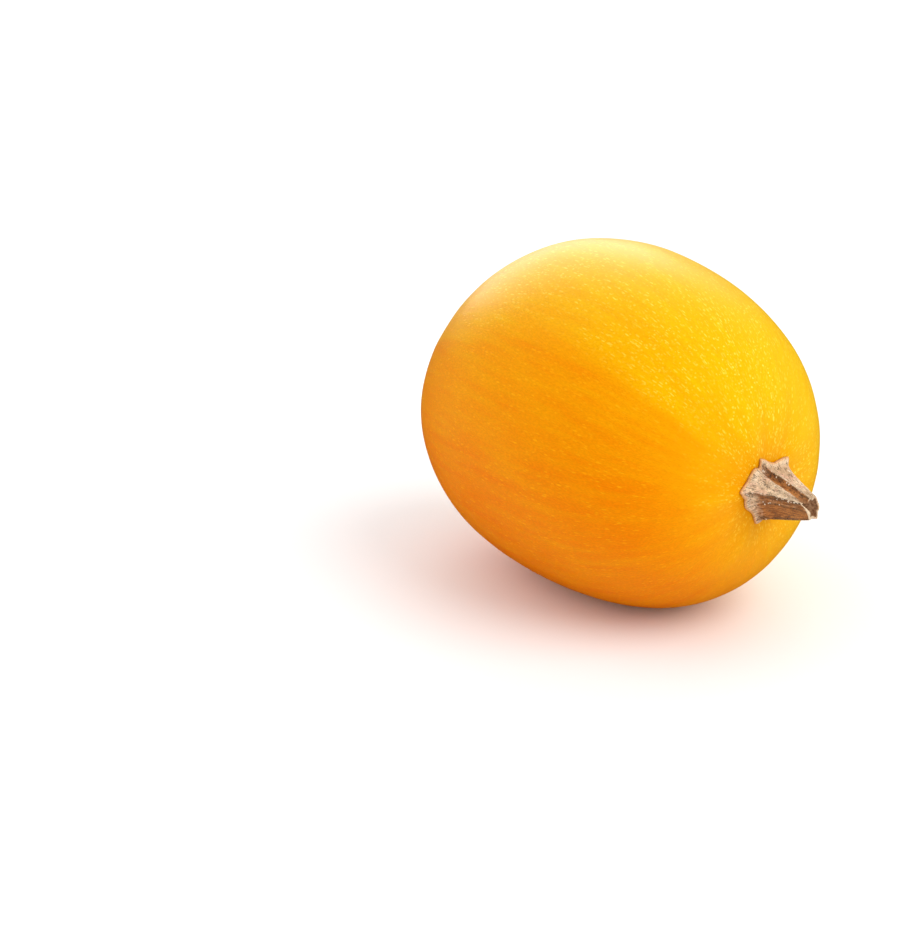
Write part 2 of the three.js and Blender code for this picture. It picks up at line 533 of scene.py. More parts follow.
@dataclass(frozen=True)
class Ridge:
    """One ridge of the stem, with the groove and the face beyond it.

    Attributes:
        foot: Angle of its foot about the axis, in degrees.
        twist: How far it turns by the tip, in degrees.
        bend: How far its middle strays from an even turn, in degrees.
        reach: Its reach at the foot beside the others.
        tip_reach: Its reach at the tip beside the others.
        height: 1 for a main ridge, less for a low one.
        groove: Depth of the groove beyond it, 1 for the deepest.
        edge: Paleness of the side that leads up to it, from 0, brown, to 1, pale.
        face: Paleness of the face beyond it.
        specks: How densely dark specks stand along it, from 0 to 1.
        specks_at: How far beyond it they stand, in degrees.
        warts: Number of pale warts along it.
    """

    foot: float
    twist: float
    bend: float
    reach: float
    tip_reach: float
    height: float
    groove: float
    edge: float
    face: float
    specks: float
    specks_at: float
    warts: int

    def angle(self, share: np.ndarray) -> np.ndarray:
        """Returns the ridge's angle at shares of the stem's length."""
        return np.radians(self.foot + self.twist * share + self.bend * 4.0 * share * (1.0 - share))

    def speck_width(self, away: np.ndarray) -> np.ndarray:
        """Returns how far the specks spread in degrees, further beyond their line than before it."""
        return np.where(away > 0.0, 3.0 + 7.0 * self.specks**3, 2.0 + 2.0 * self.specks**2)


class Spot(NamedTuple):
    """Where places lie among the ridges.

    Attributes:
        number: The number of the ridge before each place.
        way: How far it is to the next, as a share.
        span: The whole angle between the two.
    """

    number: np.ndarray
    way: np.ndarray
    span: np.ndarray


@dataclass(frozen=True)
class Ridges:
    """All the ridges, in order round the stem's axis.

    Attributes:
        every: The ridges.
        roundness: How wide the crests are beside the floors of the grooves.
    """

    every: tuple[Ridge, ...] = (
        Ridge(8, -14, 0, 1.00, 0.98, 0.60, 0.60, 0.60, 0.60, 0.2, 3.5, 4),
        Ridge(46, 14, -2, 1.04, 1.00, 1.00, 1.00, 0.80, 1.00, 0.1, 3.5, 5),
        Ridge(108, -4, -2, 1.00, 1.00, 1.00, 0.75, 1.00, 0.00, 0.75, 3.0, 8),
        Ridge(123, 18, -3, 0.98, 1.00, 0.50, 0.55, 0.95, 0.95, 0.0, 3.5, 2),
        Ridge(170, -20, -4, 1.03, 1.08, 1.00, 0.60, 0.95, 0.30, 1.0, 3.0, 26),
        Ridge(203, -13, -16, 0.95, 0.84, 0.45, 0.75, 0.32, 0.12, 0.7, 1.0, 7),
        Ridge(246, -8, -10, 0.93, 1.08, 1.00, 1.00, 0.20, 0.15, 0.9, -4.0, 1),
        Ridge(316, -20, 0, 0.97, 1.15, 1.00, 1.00, 0.30, 0.40, 0.3, 3.5, 5),
    )
    roundness: float = 1.25

    def each(self, name: str) -> np.ndarray:
        """Returns one field of every ridge, in order."""
        return np.array([getattr(ridge, name) for ridge in self.every])

    def spot(self, share: np.ndarray, around: np.ndarray) -> Spot:
        """Finds where places lie among the ridges.

        Args:
            share: Shares of the stem's length.
            around: Angles about the axis.

        Returns:
            The ridge before each place, and how far it is to the next.
        """
        share, around = np.broadcast_arrays(share, around)
        angles = np.stack([ridge.angle(share) for ridge in self.every])
        turn = (around - angles[0]) % TURN + angles[0]
        number = (turn >= angles).sum(axis=0) - 1
        start = np.take_along_axis(angles, number[None], 0)[0]
        after = np.take_along_axis(angles, (number[None] + 1) % len(self.every), 0)[0]
        span = (after - start) % TURN
        return Spot(number, (turn - start) / span, span)

    def between(self, name: str, spot: Spot) -> np.ndarray:
        """Passes evenly from each ridge's value to the next one's.

        Args:
            name: The ridges' field.
            spot: Where the places lie among the ridges.

        Returns:
            The value at each place.
        """
        values = self.each(name)
        first, second = values[spot.number], np.roll(values, -1)[spot.number]
        return first + (second - first) * spot.way

    def crest(self, spot: Spot) -> np.ndarray:
        """Works out how much of a ridge there is.

        Args:
            spot: Where the places lie among the ridges.

        Returns:
            0 in a full groove and 1 on a main ridge.
        """
        dip = np.sin(math.pi * np.clip(spot.way, 0.0, 1.0)) ** self.roundness
        return self.between("height", spot) * (1.0 - self.each("groove")[spot.number] * dip)

    def foot_angle(self, spot: Spot) -> np.ndarray:
        """Follows the ridges from each place down to the foot.

        Args:
            spot: Where the places lie among the ridges.

        Returns:
            The angles about the axis that they have there.
        """
        feet = self.each("foot")
        span = np.diff(feet, append=feet[0] + 360.0)
        return np.radians(feet[spot.number] + span[spot.number] * spot.way)


@dataclass(frozen=True)
class BrokenEnd:
    """The stem's end, with a notch, one side broken in, and a hollow.

    Angles and widths are in degrees about the stem's axis, and shares are of its length.

    Attributes:
        cut: Share at which the stem ends.
        tilt: How far the end leans, as a share.
        tilt_angle: The side on which it is longest.
        ragged: How ragged it is, as shares.
        notch_depth: Depth of the notch, as a share.
        notch_angle: Its angle.
        notch_width: Its width.
        scoop_depth: How far one side is broken in, as a share of the radius.
        scoop_angle: The angle of that side.
        scoop_width: Its width.
        scoop_from: Share at which it starts.
        open_angle: The angle at which that side looks hollow.
        open_side: Nearness to it, from 0 to 1, where that starts and where it is full.
        open_share: Shares of the length where it starts and where it is full.
        open_strength: How hollow it looks, where 1 is the hollow itself.
        wall: Thickness of the wall round the hollow.
        inner_least: The least that stays open inside the wall, as a share of the radius.
        broken_wall: How much thicker the wall is along the break.
        broken_angle: The angle of the break.
        broken_width: Its width.
        fresh_least: How fresh the rim looks away from the break, where 1 is freshest.
        fresh_angle: Where it looks freshest.
        fresh_width: How wide it does.
        hollow_depth: Depth of the hollow.
        narrowing: How late the hollow narrows towards its floor.
        sinking: How soon it reaches its floor.
        pits: The roughness of its floor.
        pit_fade: How quickly they start at the rim and end at the floor's middle.
        rim_until: Ways into the hollow, from 0 to 1, over which the fresh rim ends.
        rim_tone: Paleness under it.
        inside_from: Ways into the hollow over which its walls start.
    """

    cut: float = 0.975
    tilt: float = 0.030
    tilt_angle: float = 255.0
    ragged: tuple[Noise, ...] = (Noise(26, 0.35, 0.010), Noise(27, 0.12, 0.005))
    notch_depth: float = 0.09
    notch_angle: float = 140.0
    notch_width: float = 24.0
    scoop_depth: float = 0.50
    scoop_angle: float = 126.0
    scoop_width: float = 17.0
    scoop_from: float = 0.62
    open_angle: float = 128.0
    open_side: tuple[float, float] = (0.25, 0.7)
    open_share: tuple[float, float] = (0.70, 0.92)
    open_strength: float = 0.8
    wall: float = 0.0008
    inner_least: float = 0.45
    broken_wall: float = 0.0008
    broken_angle: float = 212.0
    broken_width: float = 45.0
    fresh_least: float = 0.42
    fresh_angle: float = 192.0
    fresh_width: float = 60.0
    hollow_depth: float = 0.0048
    narrowing: float = 1.5
    sinking: float = 0.8
    pits: tuple[Noise, ...] = (Noise(29, 0.0016, 0.00035), Noise(30, 0.0007, 0.0002))
    pit_fade: tuple[float, float] = (8.0, 6.0)
    rim_until: tuple[float, float] = (0.02, 0.08)
    rim_tone: float = 0.3
    inside_from: tuple[float, float] = (0.01, 0.06)

    def share(self, around: np.ndarray) -> np.ndarray:
        """Works out where the stem ends, lower at the notch.

        Args:
            around: Angles about the axis.

        Returns:
            Shares of the length.
        """
        tilt = self.tilt * np.cos(around - math.radians(self.tilt_angle))
        notch = self.notch_depth * towards(around, self.notch_angle, self.notch_width)
        return self.cut + tilt - notch + layered(self.ragged, on_circle(around))

    def scoop(self, share: np.ndarray, around: np.ndarray) -> np.ndarray:
        """Returns how far the side is broken in, as shares of the radius."""
        scoop = self.scoop_depth * towards(around, self.scoop_angle, self.scoop_width)
        return scoop * smooth_step(self.scoop_from, 1.0, share)

    def hollow_side(self, share: np.ndarray, around: np.ndarray) -> np.ndarray:
        """Returns 1 where the groove's floor has become the hollow's, and 0 elsewhere."""
        side = smooth_step(*self.open_side, towards(around, self.open_angle, self.scoop_width))
        return side * smooth_step(*self.open_share, share)

    def inner_radius(self, outer: np.ndarray, around: np.ndarray) -> np.ndarray:
        """Works out the hollow's radius at the rim.

        Args:
            outer: The stem's radius there.
            around: Angles about the axis.

        Returns:
            The radius inside the wall, which is thick along the break.
        """
        wall = self.wall + self.broken_wall * towards(around, self.broken_angle, self.broken_width)
        return np.maximum(outer - wall, self.inner_least * outer)

    def fresh(self, around: np.ndarray) -> np.ndarray:
        """Returns how freshly the rim is broken: 1 along the break, less elsewhere."""
        beside = towards(around, self.fresh_angle, self.fresh_width)
        return self.fresh_least + (1.0 - self.fresh_least) * beside


@dataclass(frozen=True)
class StemTone:
    """Where the stem is pale, speckled and hatched.

    Angles and widths are in degrees about the stem's axis, and shares are of its length.

    Attributes:
        face_edges: How far the edges of the pale faces stray.
        past_ridge: Degrees past a ridge over which its side turns into the face.
        before_ridge: Degrees before the next over which the face turns into its side.
        foot_tone: Paleness of the foot.
        foot_strength: How far the stem nears that at its foot, from 0 to 1.
        foot_share: Shares over which it does.
        foot_stray: How far their edge strays beside the edges of the faces.
        speck_level: How dense the specks are between their clumps and gaps.
        speck_clumps: Their clumps.
        speck_share: Shares over which they start at the foot.
        hatch_way: How far across a face its hatching is, and how wide, as shares.
        hatch_face: Only faces paler than this are hatched.
        hatch_groove: Only faces shallower than this are.
        hatch_foot: Shares over which the hatching starts.
        hatch_tip: Shares over which it ends.
    """

    face_edges: tuple[Noise, ...] = (Noise(31, 0.0022, 1.6), Noise(32, 0.0009, 0.8))
    past_ridge: tuple[float, float] = (-1.0, 3.0)
    before_ridge: tuple[float, float] = (0.0, 7.0)
    foot_tone: float = 0.80
    foot_strength: float = 0.75
    foot_share: tuple[float, float] = (0.32, 0.04)
    foot_stray: float = 0.02
    speck_level: float = 0.75
    speck_clumps: Noise = Noise(33, 0.003, 0.35)
    speck_share: tuple[float, float] = (-0.02, 0.06)
    hatch_way: tuple[float, float] = (0.42, 0.20)
    hatch_face: float = 0.5
    hatch_groove: float = 0.9
    hatch_foot: tuple[float, float] = (0.06, 0.16)
    hatch_tip: tuple[float, float] = (0.86, 0.7)

    def face(self, ridges: Ridges, spot: Spot, share: np.ndarray, plain: np.ndarray) -> np.ndarray:
        """Works out how pale the stem is, from the faces between its ridges.

        Args:
            ridges: The ridges.
            spot: Where the places lie among them.
            share: Shares of the length.
            plain: The places.

        Returns:
            Values from 0, brown, to 1, pale.
        """
        edges, faces = ridges.each("edge"), ridges.each("face")
        stray = layered(self.face_edges, plain)
        past = smooth_step(*self.past_ridge, np.degrees(spot.way * spot.span) + stray)
        before = smooth_step(*self.before_ridge, np.degrees((1.0 - spot.way) * spot.span) + stray)
        face = edges[spot.number] * (1.0 - past) + faces[spot.number] * past
        face = face + (np.roll(edges, -1)[spot.number] - face) * (1.0 - before)
        foot = smooth_step(*self.foot_share, share + self.foot_stray * stray)
        return face + np.maximum(self.foot_tone - face, 0.0) * self.foot_strength * foot

    def specks(self, ridges: Ridges, share: np.ndarray, around: np.ndarray,
               plain: np.ndarray) -> np.ndarray:
        """Works out how densely dark specks stand, just beyond the ridges.

        Args:
            ridges: The ridges.
            share: Shares of the length.
            around: Angles about the axis.
            plain: The places.

        Returns:
            Values from 0, none, to 1.
        """
        total = np.zeros(share.shape)
        uneven = self.speck_level + self.speck_clumps.at(plain)
        for ridge in ridges.every:
            away = np.degrees(turn_from(around, ridge.angle(share))) - ridge.specks_at
            total = np.maximum(total, ridge.specks * bell(away, ridge.speck_width(away)) * uneven)
        return np.clip(total, 0.0, 1.0) * smooth_step(*self.speck_share, share)

    def hatch(self, ridges: Ridges, spot: Spot, share: np.ndarray) -> np.ndarray:
        """Works out where the pale faces have fine dark hatching, in the middle of each.

        Args:
            ridges: The ridges.
            spot: Where the places lie among them.
            share: Shares of the length.

        Returns:
            Values from 0, none, to 1.
        """
        pale = ridges.each("face")[spot.number] > self.hatch_face
        shallow = ridges.each("groove")[spot.number] < self.hatch_groove
        middle = bell(spot.way - self.hatch_way[0], self.hatch_way[1]) * pale * shallow
        return middle * smooth_step(*self.hatch_foot, share) * smooth_step(*self.hatch_tip, share)


# ------------------------------------------------------------------ node trees


class Graph:
    """A node tree, with short ways to add to it."""

    def __init__(self, tree: bpy.types.NodeTree) -> None:
        """Empties the tree and keeps it."""
        self.tree = tree
        tree.nodes.clear()

    def node(self, kind: str, **values: object) -> bpy.types.Node:
        """Adds a node.

        Args:
            kind: The node's type name without its ShaderNode prefix.
            **values: Properties to set on the node.

        Returns:
            The new node.
        """
        made = self.tree.nodes.new(kind if kind.startswith("NodeGroup") else "ShaderNode" + kind)
        for name, value in values.items():
            setattr(made, name, value)
        return made

    def feed(self, socket: bpy.types.NodeSocket, value: object) -> None:
        """Links a socket to another one, or sets it to a plain value.

        Args:
            socket: The input that takes the value.
            value: An output socket, a number, or numbers.
        """
        if isinstance(value, bpy.types.NodeSocket):
            self.tree.links.new(value, socket)
        else:
            socket.default_value = value

    def mark(self, mark: Mark) -> bpy.types.NodeSocket:
        """Reads one of the values kept on the mesh."""
        node = self.node("Attribute", attribute_name=mark.value)
        return node.outputs["Vector" if mark is Mark.PLACE else "Fac"]

    def place(self) -> bpy.types.NodeSocket:
        """Gives the place on the object, in metres."""
        return self.node("TexCoord").outputs["Object"]

    def math(self, operation: str, *values: object, clamp: bool = False) -> bpy.types.NodeSocket:
        """Does one step of arithmetic.

        Args:
            operation: The Math node's operation.
            *values: One to three sockets or numbers.
            clamp: Keeps the result between 0 and 1.

        Returns:
            The result.
        """
        node = self.node("Math", operation=operation, use_clamp=clamp)
        for socket, value in zip(node.inputs, values):
            self.feed(socket, value)
        return node.outputs[0]

    def weighted(self, *parts: tuple[object, float]) -> bpy.types.NodeSocket:
        """Adds up values, each times its weight.

        Args:
            *parts: Pairs of a value and its weight.

        Returns:
            The sum.
        """
        total: object = 0.0
        for value, weight in parts:
            total = self.math("MULTIPLY_ADD", value, weight, total)
        return total

    def stray(self, value: object, noise: bpy.types.NodeSocket, amount: float,
              clamp: bool = False) -> bpy.types.NodeSocket:
        """Moves a value up and down with a noise that lies about 0.5.

        Args:
            value: The value.
            noise: The noise, from 0 to 1.
            amount: The whole range by which the value may move.
            clamp: Keeps the result between 0 and 1.

        Returns:
            The value with its stray.
        """
        moved = self.math("MULTIPLY_ADD", noise, amount, -amount / 2.0)
        return self.math("ADD", value, moved, clamp=clamp)

    def stretch(self, vector: bpy.types.NodeSocket, *factors: float) -> bpy.types.NodeSocket:
        """Multiplies the parts of a vector.

        Args:
            vector: The vector.
            *factors: Three factors, for its X, Y and Z.

        Returns:
            The stretched vector.
        """
        node = self.node("VectorMath", operation="MULTIPLY")
        self.feed(node.inputs[0], vector)
        self.feed(node.inputs[1], factors)
        return node.outputs[0]

    def ease(self, value: bpy.types.NodeSocket, low: float, high: float,
             to_low: float = 0.0, to_high: float = 1.0) -> bpy.types.NodeSocket:
        """Maps a range of values smoothly to another.

        Args:
            value: The value to map.
            low: The value that becomes to_low.
            high: The value that becomes to_high.
            to_low: Result at and beyond low.
            to_high: Result at and beyond high.

        Returns:
            The mapped value.
        """
        node = self.node("MapRange", interpolation_type="SMOOTHSTEP")
        for name, number in (("From Min", low), ("From Max", high), ("To Min", to_low), ("To Max", to_high)):
            self.feed(node.inputs[name], number)
        self.feed(node.inputs["Value"], value)
        return node.outputs["Result"]

    def blend(self, share: object, first: object, second: object, how: str = "MIX") -> bpy.types.NodeSocket:
        """Mixes two colours.

        Args:
            share: How much of the second colour shows.
            first: A colour or a socket.
            second: A colour or a socket.
            how: The Mix node's blend type.

        Returns:
            The mixed colour.
        """
        node = self.node("Mix", data_type="RGBA", blend_type=how)
        self.feed(node.inputs[0], share)
        self.feed(node.inputs[6], first)
        self.feed(node.inputs[7], second)
        return node.outputs[2]

    def shade(self, base: object, strength: object) -> bpy.types.NodeSocket:
        """Multiplies a colour by one value.

        Args:
            base: The colour.
            strength: The value.

        Returns:
            The shaded colour.
        """
        grey = self.node("CombineColor")
        for socket in grey.inputs:
            self.feed(socket, strength)
        return self.blend(1.0, base, grey.outputs[0], "MULTIPLY")

    def bump(self, height: object, strength: float, depth: float) -> bpy.types.NodeSocket:
        """Turns a height into a normal.

        Args:
            height: The height, about 0 to 1.
            strength: How much of the bump shows.
            depth: How deep a height of 1 is, in metres.

        Returns:
            The normal.
        """
        node = self.node("Bump")
        self.feed(node.inputs["Strength"], strength)
        self.feed(node.inputs["Distance"], depth)
        self.feed(node.inputs["Height"], height)
        return node.outputs[0]

    def noise(self, vector: bpy.types.NodeSocket, scale: float, detail: float = 3.0,
              roughness: float = 0.55) -> bpy.types.NodeSocket:
        """Gives a soft random value.

        Args:
            vector: Coordinates.
            scale: Changes per unit of the coordinates.
            detail: Number of finer layers.
            roughness: Strength of the finer layers.

        Returns:
            Values around 0.5.
        """
        node = self.node("TexNoise")
        self.feed(node.inputs["Vector"], vector)
        self.feed(node.inputs["Scale"], scale)
        self.feed(node.inputs["Detail"], detail)
        self.feed(node.inputs["Roughness"], roughness)
        return node.outputs["Fac"]

    def group(self, shared: "SharedEffect", **values: object) -> dict[str, bpy.types.NodeSocket]:
        """Places a shared effect.

        Args:
            shared: The effect.
            **values: Its inputs by name.

        Returns:
            Its outputs by name.
        """
        node = self.node("Group", node_tree=shared.tree())
        for name, value in values.items():
            self.feed(node.inputs[name], value)
        return {socket.name: socket for socket in node.outputs}


class SharedEffect:
    """An effect that several finishes use, kept as one node group.

    Attributes:
        name: The group's name.
    """

    name: str = ""

    def tree(self) -> bpy.types.NodeTree:
        """Gives the effect's group.

        Returns:
            The group, which is made the first time.
        """
        made = bpy.data.node_groups.get(self.name)
        if made is None:
            made = bpy.data.node_groups.new(self.name, "ShaderNodeTree")
            self.fill(Graph(made))
        return made

    @staticmethod
    def sockets(tree: bpy.types.NodeTree, inputs: dict[str, tuple[str, object]],
                outputs: dict[str, str]) -> None:
        """Makes the group's own sockets.

        Args:
            tree: The group.
            inputs: Kind and first value of each input, by name.
            outputs: Kind of each output, by name.
        """
        for name, (kind, value) in inputs.items():
            socket = tree.interface.new_socket(name, in_out="INPUT", socket_type="NodeSocket" + kind)
            if value is not None:
                socket.default_value = value
        for name, kind in outputs.items():
            tree.interface.new_socket(name, in_out="OUTPUT", socket_type="NodeSocket" + kind)

    def fill(self, graph: Graph) -> None:
        """Adds the group's nodes."""
        raise NotImplementedError


class Flecks(SharedEffect):
    """Scattered soft dots; coordinates that are stretched draw them out into dashes."""

    name: str = "flecks"

    def fill(self, graph: Graph) -> None:
        """Adds the cells, a random choice of them, and a dot in each chosen one.

        Args:
            graph: The group's graph.
        """
        self.sockets(
            graph.tree,
            {"Vector": ("Vector", None), "Size": ("Float", 0.25), "Softness": ("Float", 0.15),
             "Cover": ("Float", 0.5)},
            {"Mask": "Float", "Tone": "Float"},
        )
        given, result = graph.node("NodeGroupInput"), graph.node("NodeGroupOutput")
        cells = graph.node("TexVoronoi", feature="F1")
        graph.feed(cells.inputs["Vector"], given.outputs["Vector"])
        graph.feed(cells.inputs["Scale"], 1.0)
        parts = graph.node("SeparateColor")
        graph.feed(parts.inputs[0], cells.outputs["Color"])
        size = graph.math("MULTIPLY", given.outputs["Size"],
                          graph.math("MULTIPLY_ADD", parts.outputs[1], 0.9, 0.45))
        inner = graph.math("SUBTRACT", size, cells.outputs["Distance"])
        soft = graph.math("DIVIDE", inner, given.outputs["Softness"], clamp=True)
        chosen = graph.math("LESS_THAN", parts.outputs[0], given.outputs["Cover"])
        graph.feed(result.inputs["Mask"], graph.math("MULTIPLY", soft, chosen))
        graph.feed(result.inputs["Tone"], parts.outputs[2])


class Mottle(SharedEffect):
    """Cloudy patches with a chosen sharpness."""

    name: str = "mottle"

    def fill(self, graph: Graph) -> None:
        """Adds a soft noise and sharpens it about its middle.

        Args:
            graph: The group's graph.
        """
        self.sockets(
            graph.tree,
            {"Vector": ("Vector", None), "Scale": ("Float", 10.0), "Detail": ("Float", 3.0),
             "Contrast": ("Float", 1.5)},
            {"Mask": "Float"},
        )
        given, result = graph.node("NodeGroupInput"), graph.node("NodeGroupOutput")
        cloud = graph.node("TexNoise")
        for name in ("Vector", "Scale", "Detail"):
            graph.feed(cloud.inputs[name], given.outputs[name])
        centred = graph.math("SUBTRACT", cloud.outputs["Fac"], 0.5)
        sharp = graph.math("MULTIPLY_ADD", centred, given.outputs["Contrast"], 0.5, clamp=True)
        graph.feed(result.inputs["Mask"], sharp)


FLECKS = Flecks()
MOTTLE = Mottle()

Colour = tuple[float, float, float, float]
Pattern = Callable[[Graph, bpy.types.NodeSocket], bpy.types.NodeSocket]


def mottle(graph: Graph, vector: bpy.types.NodeSocket, scale: float, detail: float,
           contrast: float) -> bpy.types.NodeSocket:
    """Places the mottle in a graph.

    Args:
        graph: The material's graph.
        vector: Coordinates.
        scale: Patches per unit of the coordinates.
        detail: Number of finer layers.
        contrast: How sharply light and dark part.

    Returns:
        Its values, from 0 to 1.
    """
    return graph.group(MOTTLE, Vector=vector, Scale=scale, Detail=detail, Contrast=contrast)["Mask"]


def colour(red: float, green: float, blue: float) -> Colour:
    """Returns an opaque colour from linear parts."""
    return (red, green, blue, 1.0)


def new_material(name: str) -> tuple[bpy.types.Material, Graph, bpy.types.Node]:
    """Starts a material.

    Args:
        name: The material's name.

    Returns:
        The material, its graph, and its Principled shader, which is already wired.
    """
    material = bpy.data.materials.new(name)
    material.use_nodes = True
    graph = Graph(material.node_tree)
    shader = graph.node("BsdfPrincipled")
    output = graph.node("OutputMaterial")
    graph.feed(output.inputs["Surface"], shader.outputs[0])
    return material, graph, shader


# ------------------------------------------------------------------ finishes


@dataclass(frozen=True)
class RindFinish:
    """Waxy yellow-orange rind with pale flecks drawn out along the fruit; its colour also holds painted light
    and shade, and painted glints among its dots.

    Attributes:
        deep: The rind where it is deep orange.
        yellow: The rind where it is yellow.
        fleck_deep: The flecks on the deep orange.
        fleck_and_glint_yellow: The flecks on the yellow, and the painted glints of the dots there.
        collar: Painted shade on the rind round the stem's foot, a deeper orange.
        ground: The paler spot that it lies on.
        cork: The scar at the blossom end.
        cork_pale: The scar's paler crumbs.
        cork_rim: The scar's dark rim.
        roughness: Roughness of the wax.
        specular: Strength of its gloss.
        gloss_tint: Tint of its gloss.
        pore_depth: Depth of the pores and flecks, in metres.
        bump: How much of that depth shows.
    """

    deep: Colour = colour(0.80, 0.180, 0.0006)
    yellow: Colour = colour(0.84, 0.49, 0.0015)
    fleck_deep: Colour = colour(0.95, 0.390, 0.0040)
    fleck_and_glint_yellow: Colour = colour(0.98, 0.78, 0.09)
    collar: Colour = colour(0.78, 0.235, 0.0008)
    ground: Colour = colour(0.84, 0.50, 0.060)
    cork: Colour = colour(0.27, 0.125, 0.042)
    cork_pale: Colour = colour(0.62, 0.38, 0.17)
    cork_rim: Colour = colour(0.16, 0.060, 0.016)
    roughness: float = 0.41
    specular: float = 0.12
    gloss_tint: Colour = colour(1.0, 0.6, 0.05)
    pore_depth: float = 0.00010
    bump: float = 0.6

    def material(self) -> bpy.types.Material:
        """Builds the rind's node tree.

        Returns:
            The material.
        """
        material, graph, shader = new_material("waxy_rind")
        place, skin = graph.place(), self._wander(graph, graph.mark(Mark.PLACE))
        far = graph.ease(graph.mark(Mark.POLE), 0.42, 0.66)
        patches = mottle(graph, skin, 26.0, 2.0, 3.2)
        cloud = mottle(graph, place, 17.0, 4.0, 1.7)
        streaks = self._both_ways(graph, skin, far, self._streaks, (210.0, 90.0, 30.0))
        dash = self._both_ways(graph, skin, far, self._dashes, (860.0, 390.0, 270.0))
        dot = self._dots_and_glints(graph, graph.stretch(place, 640.0, 640.0, 640.0))
        grain = graph.noise(graph.stretch(skin, 1500.0, 1500.0, 700.0), 1.0, 2.0)

        # The tone is partly the rind's own colour and partly painted light and shade: yellower on top and
        # towards the stem, deeper orange underneath and on the -Y side.
        tone = graph.stray(graph.stray(graph.mark(Mark.TONE_AND_SHADE), streaks, 0.26), cloud, 0.14)
        # Painted light and shade: lighter on the ribs round the stem, darker in their furrows.
        tone = graph.math("MULTIPLY_ADD", graph.mark(Mark.RIB), 0.10, tone, clamp=True)
        base = graph.blend(tone, self.deep, self.yellow)
        # Painted shade: deeper orange round the stem's foot.
        base = graph.blend(graph.math("MULTIPLY", graph.mark(Mark.STEM_SHADE), 0.8), base, self.collar)
        base = graph.blend(graph.math("MULTIPLY", graph.mark(Mark.GROUND), 0.75), base, self.ground)

        # Painted glints: the dots show mostly where the tone is yellow, on the upper side.
        glint_cover = graph.math("MULTIPLY", graph.ease(tone, 0.3, 0.85, 0.15, 1.0),
                           graph.ease(patches, 0.0, 1.0, 0.4, 1.0))
        dot = graph.math("MULTIPLY", dot, glint_cover)
        speckle = graph.math("MAXIMUM", graph.math("MULTIPLY", dash, 0.75), graph.math("MULTIPLY", dot, 0.72))
        fleck = graph.blend(graph.ease(tone, 0.35, 0.95), self.fleck_deep, self.fleck_and_glint_yellow)
        base = graph.blend(speckle, base, fleck)
        base = graph.shade(base, graph.ease(grain, 0.3, 0.7, 0.92, 1.05))

        scar = graph.mark(Mark.SCAR)
        crumbs = mottle(graph, place, 900.0, 5.0, 2.6)
        corky = graph.blend(crumbs, self.cork, self.cork_pale)
        corky = graph.blend(graph.ease(scar, 0.55, 1.0, 0.9, 0.0), corky, self.cork_rim)
        scarred = graph.ease(graph.stray(scar, crumbs, 0.5), 0.42, 0.62)
        graph.feed(shader.inputs["Base Color"], graph.blend(scarred, base, corky))

        rough = graph.stray(self.roughness, cloud, 0.08)
        rough = graph.math("MULTIPLY_ADD", graph.mark(Mark.GROUND), 0.14, rough)
        rough = graph.math("MULTIPLY_ADD", scarred, 0.4, rough, clamp=True)
        graph.feed(shader.inputs["Roughness"], rough)

        crumbled = graph.math("MULTIPLY", crumbs, scarred)
        height = graph.weighted((speckle, 1.2), (grain, 0.35), (streaks, 0.6), (crumbled, 3.0))
        graph.feed(shader.inputs["Normal"], graph.bump(height, self.bump, self.pore_depth))
        graph.feed(shader.inputs["Specular IOR Level"], self.specular)
        graph.feed(shader.inputs["Specular Tint"], self.gloss_tint)
        return material

    @staticmethod
    def _wander(graph: Graph, skin: bpy.types.NodeSocket) -> bpy.types.NodeSocket:
        """Bends the unrolled rind a little, so that nothing on it runs quite straight.

        Args:
            graph: The material's graph.
            skin: Coordinates that unroll the rind.

        Returns:
            The bent coordinates.
        """
        noise = graph.node("TexNoise")
        graph.feed(noise.inputs["Vector"], skin)
        graph.feed(noise.inputs["Scale"], 60.0)
        bent = graph.node("VectorMath", operation="MULTIPLY_ADD")
        for socket, value in zip(bent.inputs, (noise.outputs["Color"], (0.002, 0.002, 0.002), skin)):
            graph.feed(socket, value)
        return bent.outputs[0]

    @staticmethod
    def _both_ways(graph: Graph, skin: bpy.types.NodeSocket, far: bpy.types.NodeSocket,
                   pattern: Pattern, scales: tuple[float, float, float]) -> bpy.types.NodeSocket:
        """Draws a pattern along the fruit, twice, so that it stays even near the ends.

        Args:
            graph: The material's graph.
            skin: Coordinates that unroll the rind.
            far: 1 where the fruit is wide and 0 near its two ends.
            pattern: Makes the pattern from coordinates.
            scales: Its scales across where the fruit is wide, across near the ends,
                and along.

        Returns:
            The pattern's values.
        """
        wide, narrow, along = scales
        mixed = graph.node("Mix", data_type="FLOAT")
        graph.feed(mixed.inputs[0], far)
        graph.feed(mixed.inputs[2], pattern(graph, graph.stretch(skin, narrow, narrow, along)))
        graph.feed(mixed.inputs[3], pattern(graph, graph.stretch(skin, wide, wide, along)))
        return mixed.outputs[0]

    @staticmethod
    def _streaks(graph: Graph, vector: bpy.types.NodeSocket) -> bpy.types.NodeSocket:
        """Gives long faint streaks."""
        return mottle(graph, vector, 1.0, 4.0, 1.9)

    @staticmethod
    def _dashes(graph: Graph, vector: bpy.types.NodeSocket) -> bpy.types.NodeSocket:
        """Gives short dashes, some faint and some clear."""
        made = graph.group(FLECKS, Vector=vector, Size=0.34, Softness=0.15, Cover=1.0)
        return graph.math("MULTIPLY", made["Mask"], graph.ease(made["Tone"], 0.0, 1.0, 0.15, 0.85))

    @staticmethod
    def _dots_and_glints(graph: Graph, vector: bpy.types.NodeSocket) -> bpy.types.NodeSocket:
        """Gives small dots, most faint and a few bright: partly pale flecks of the rind, partly painted
        glints where raised pores catch the light.
        """
        made = graph.group(FLECKS, Vector=vector, Size=0.37, Softness=0.16, Cover=1.0)
        return graph.math("MULTIPLY", made["Mask"], graph.ease(made["Tone"], 0.2, 1.0, 0.08, 0.9))


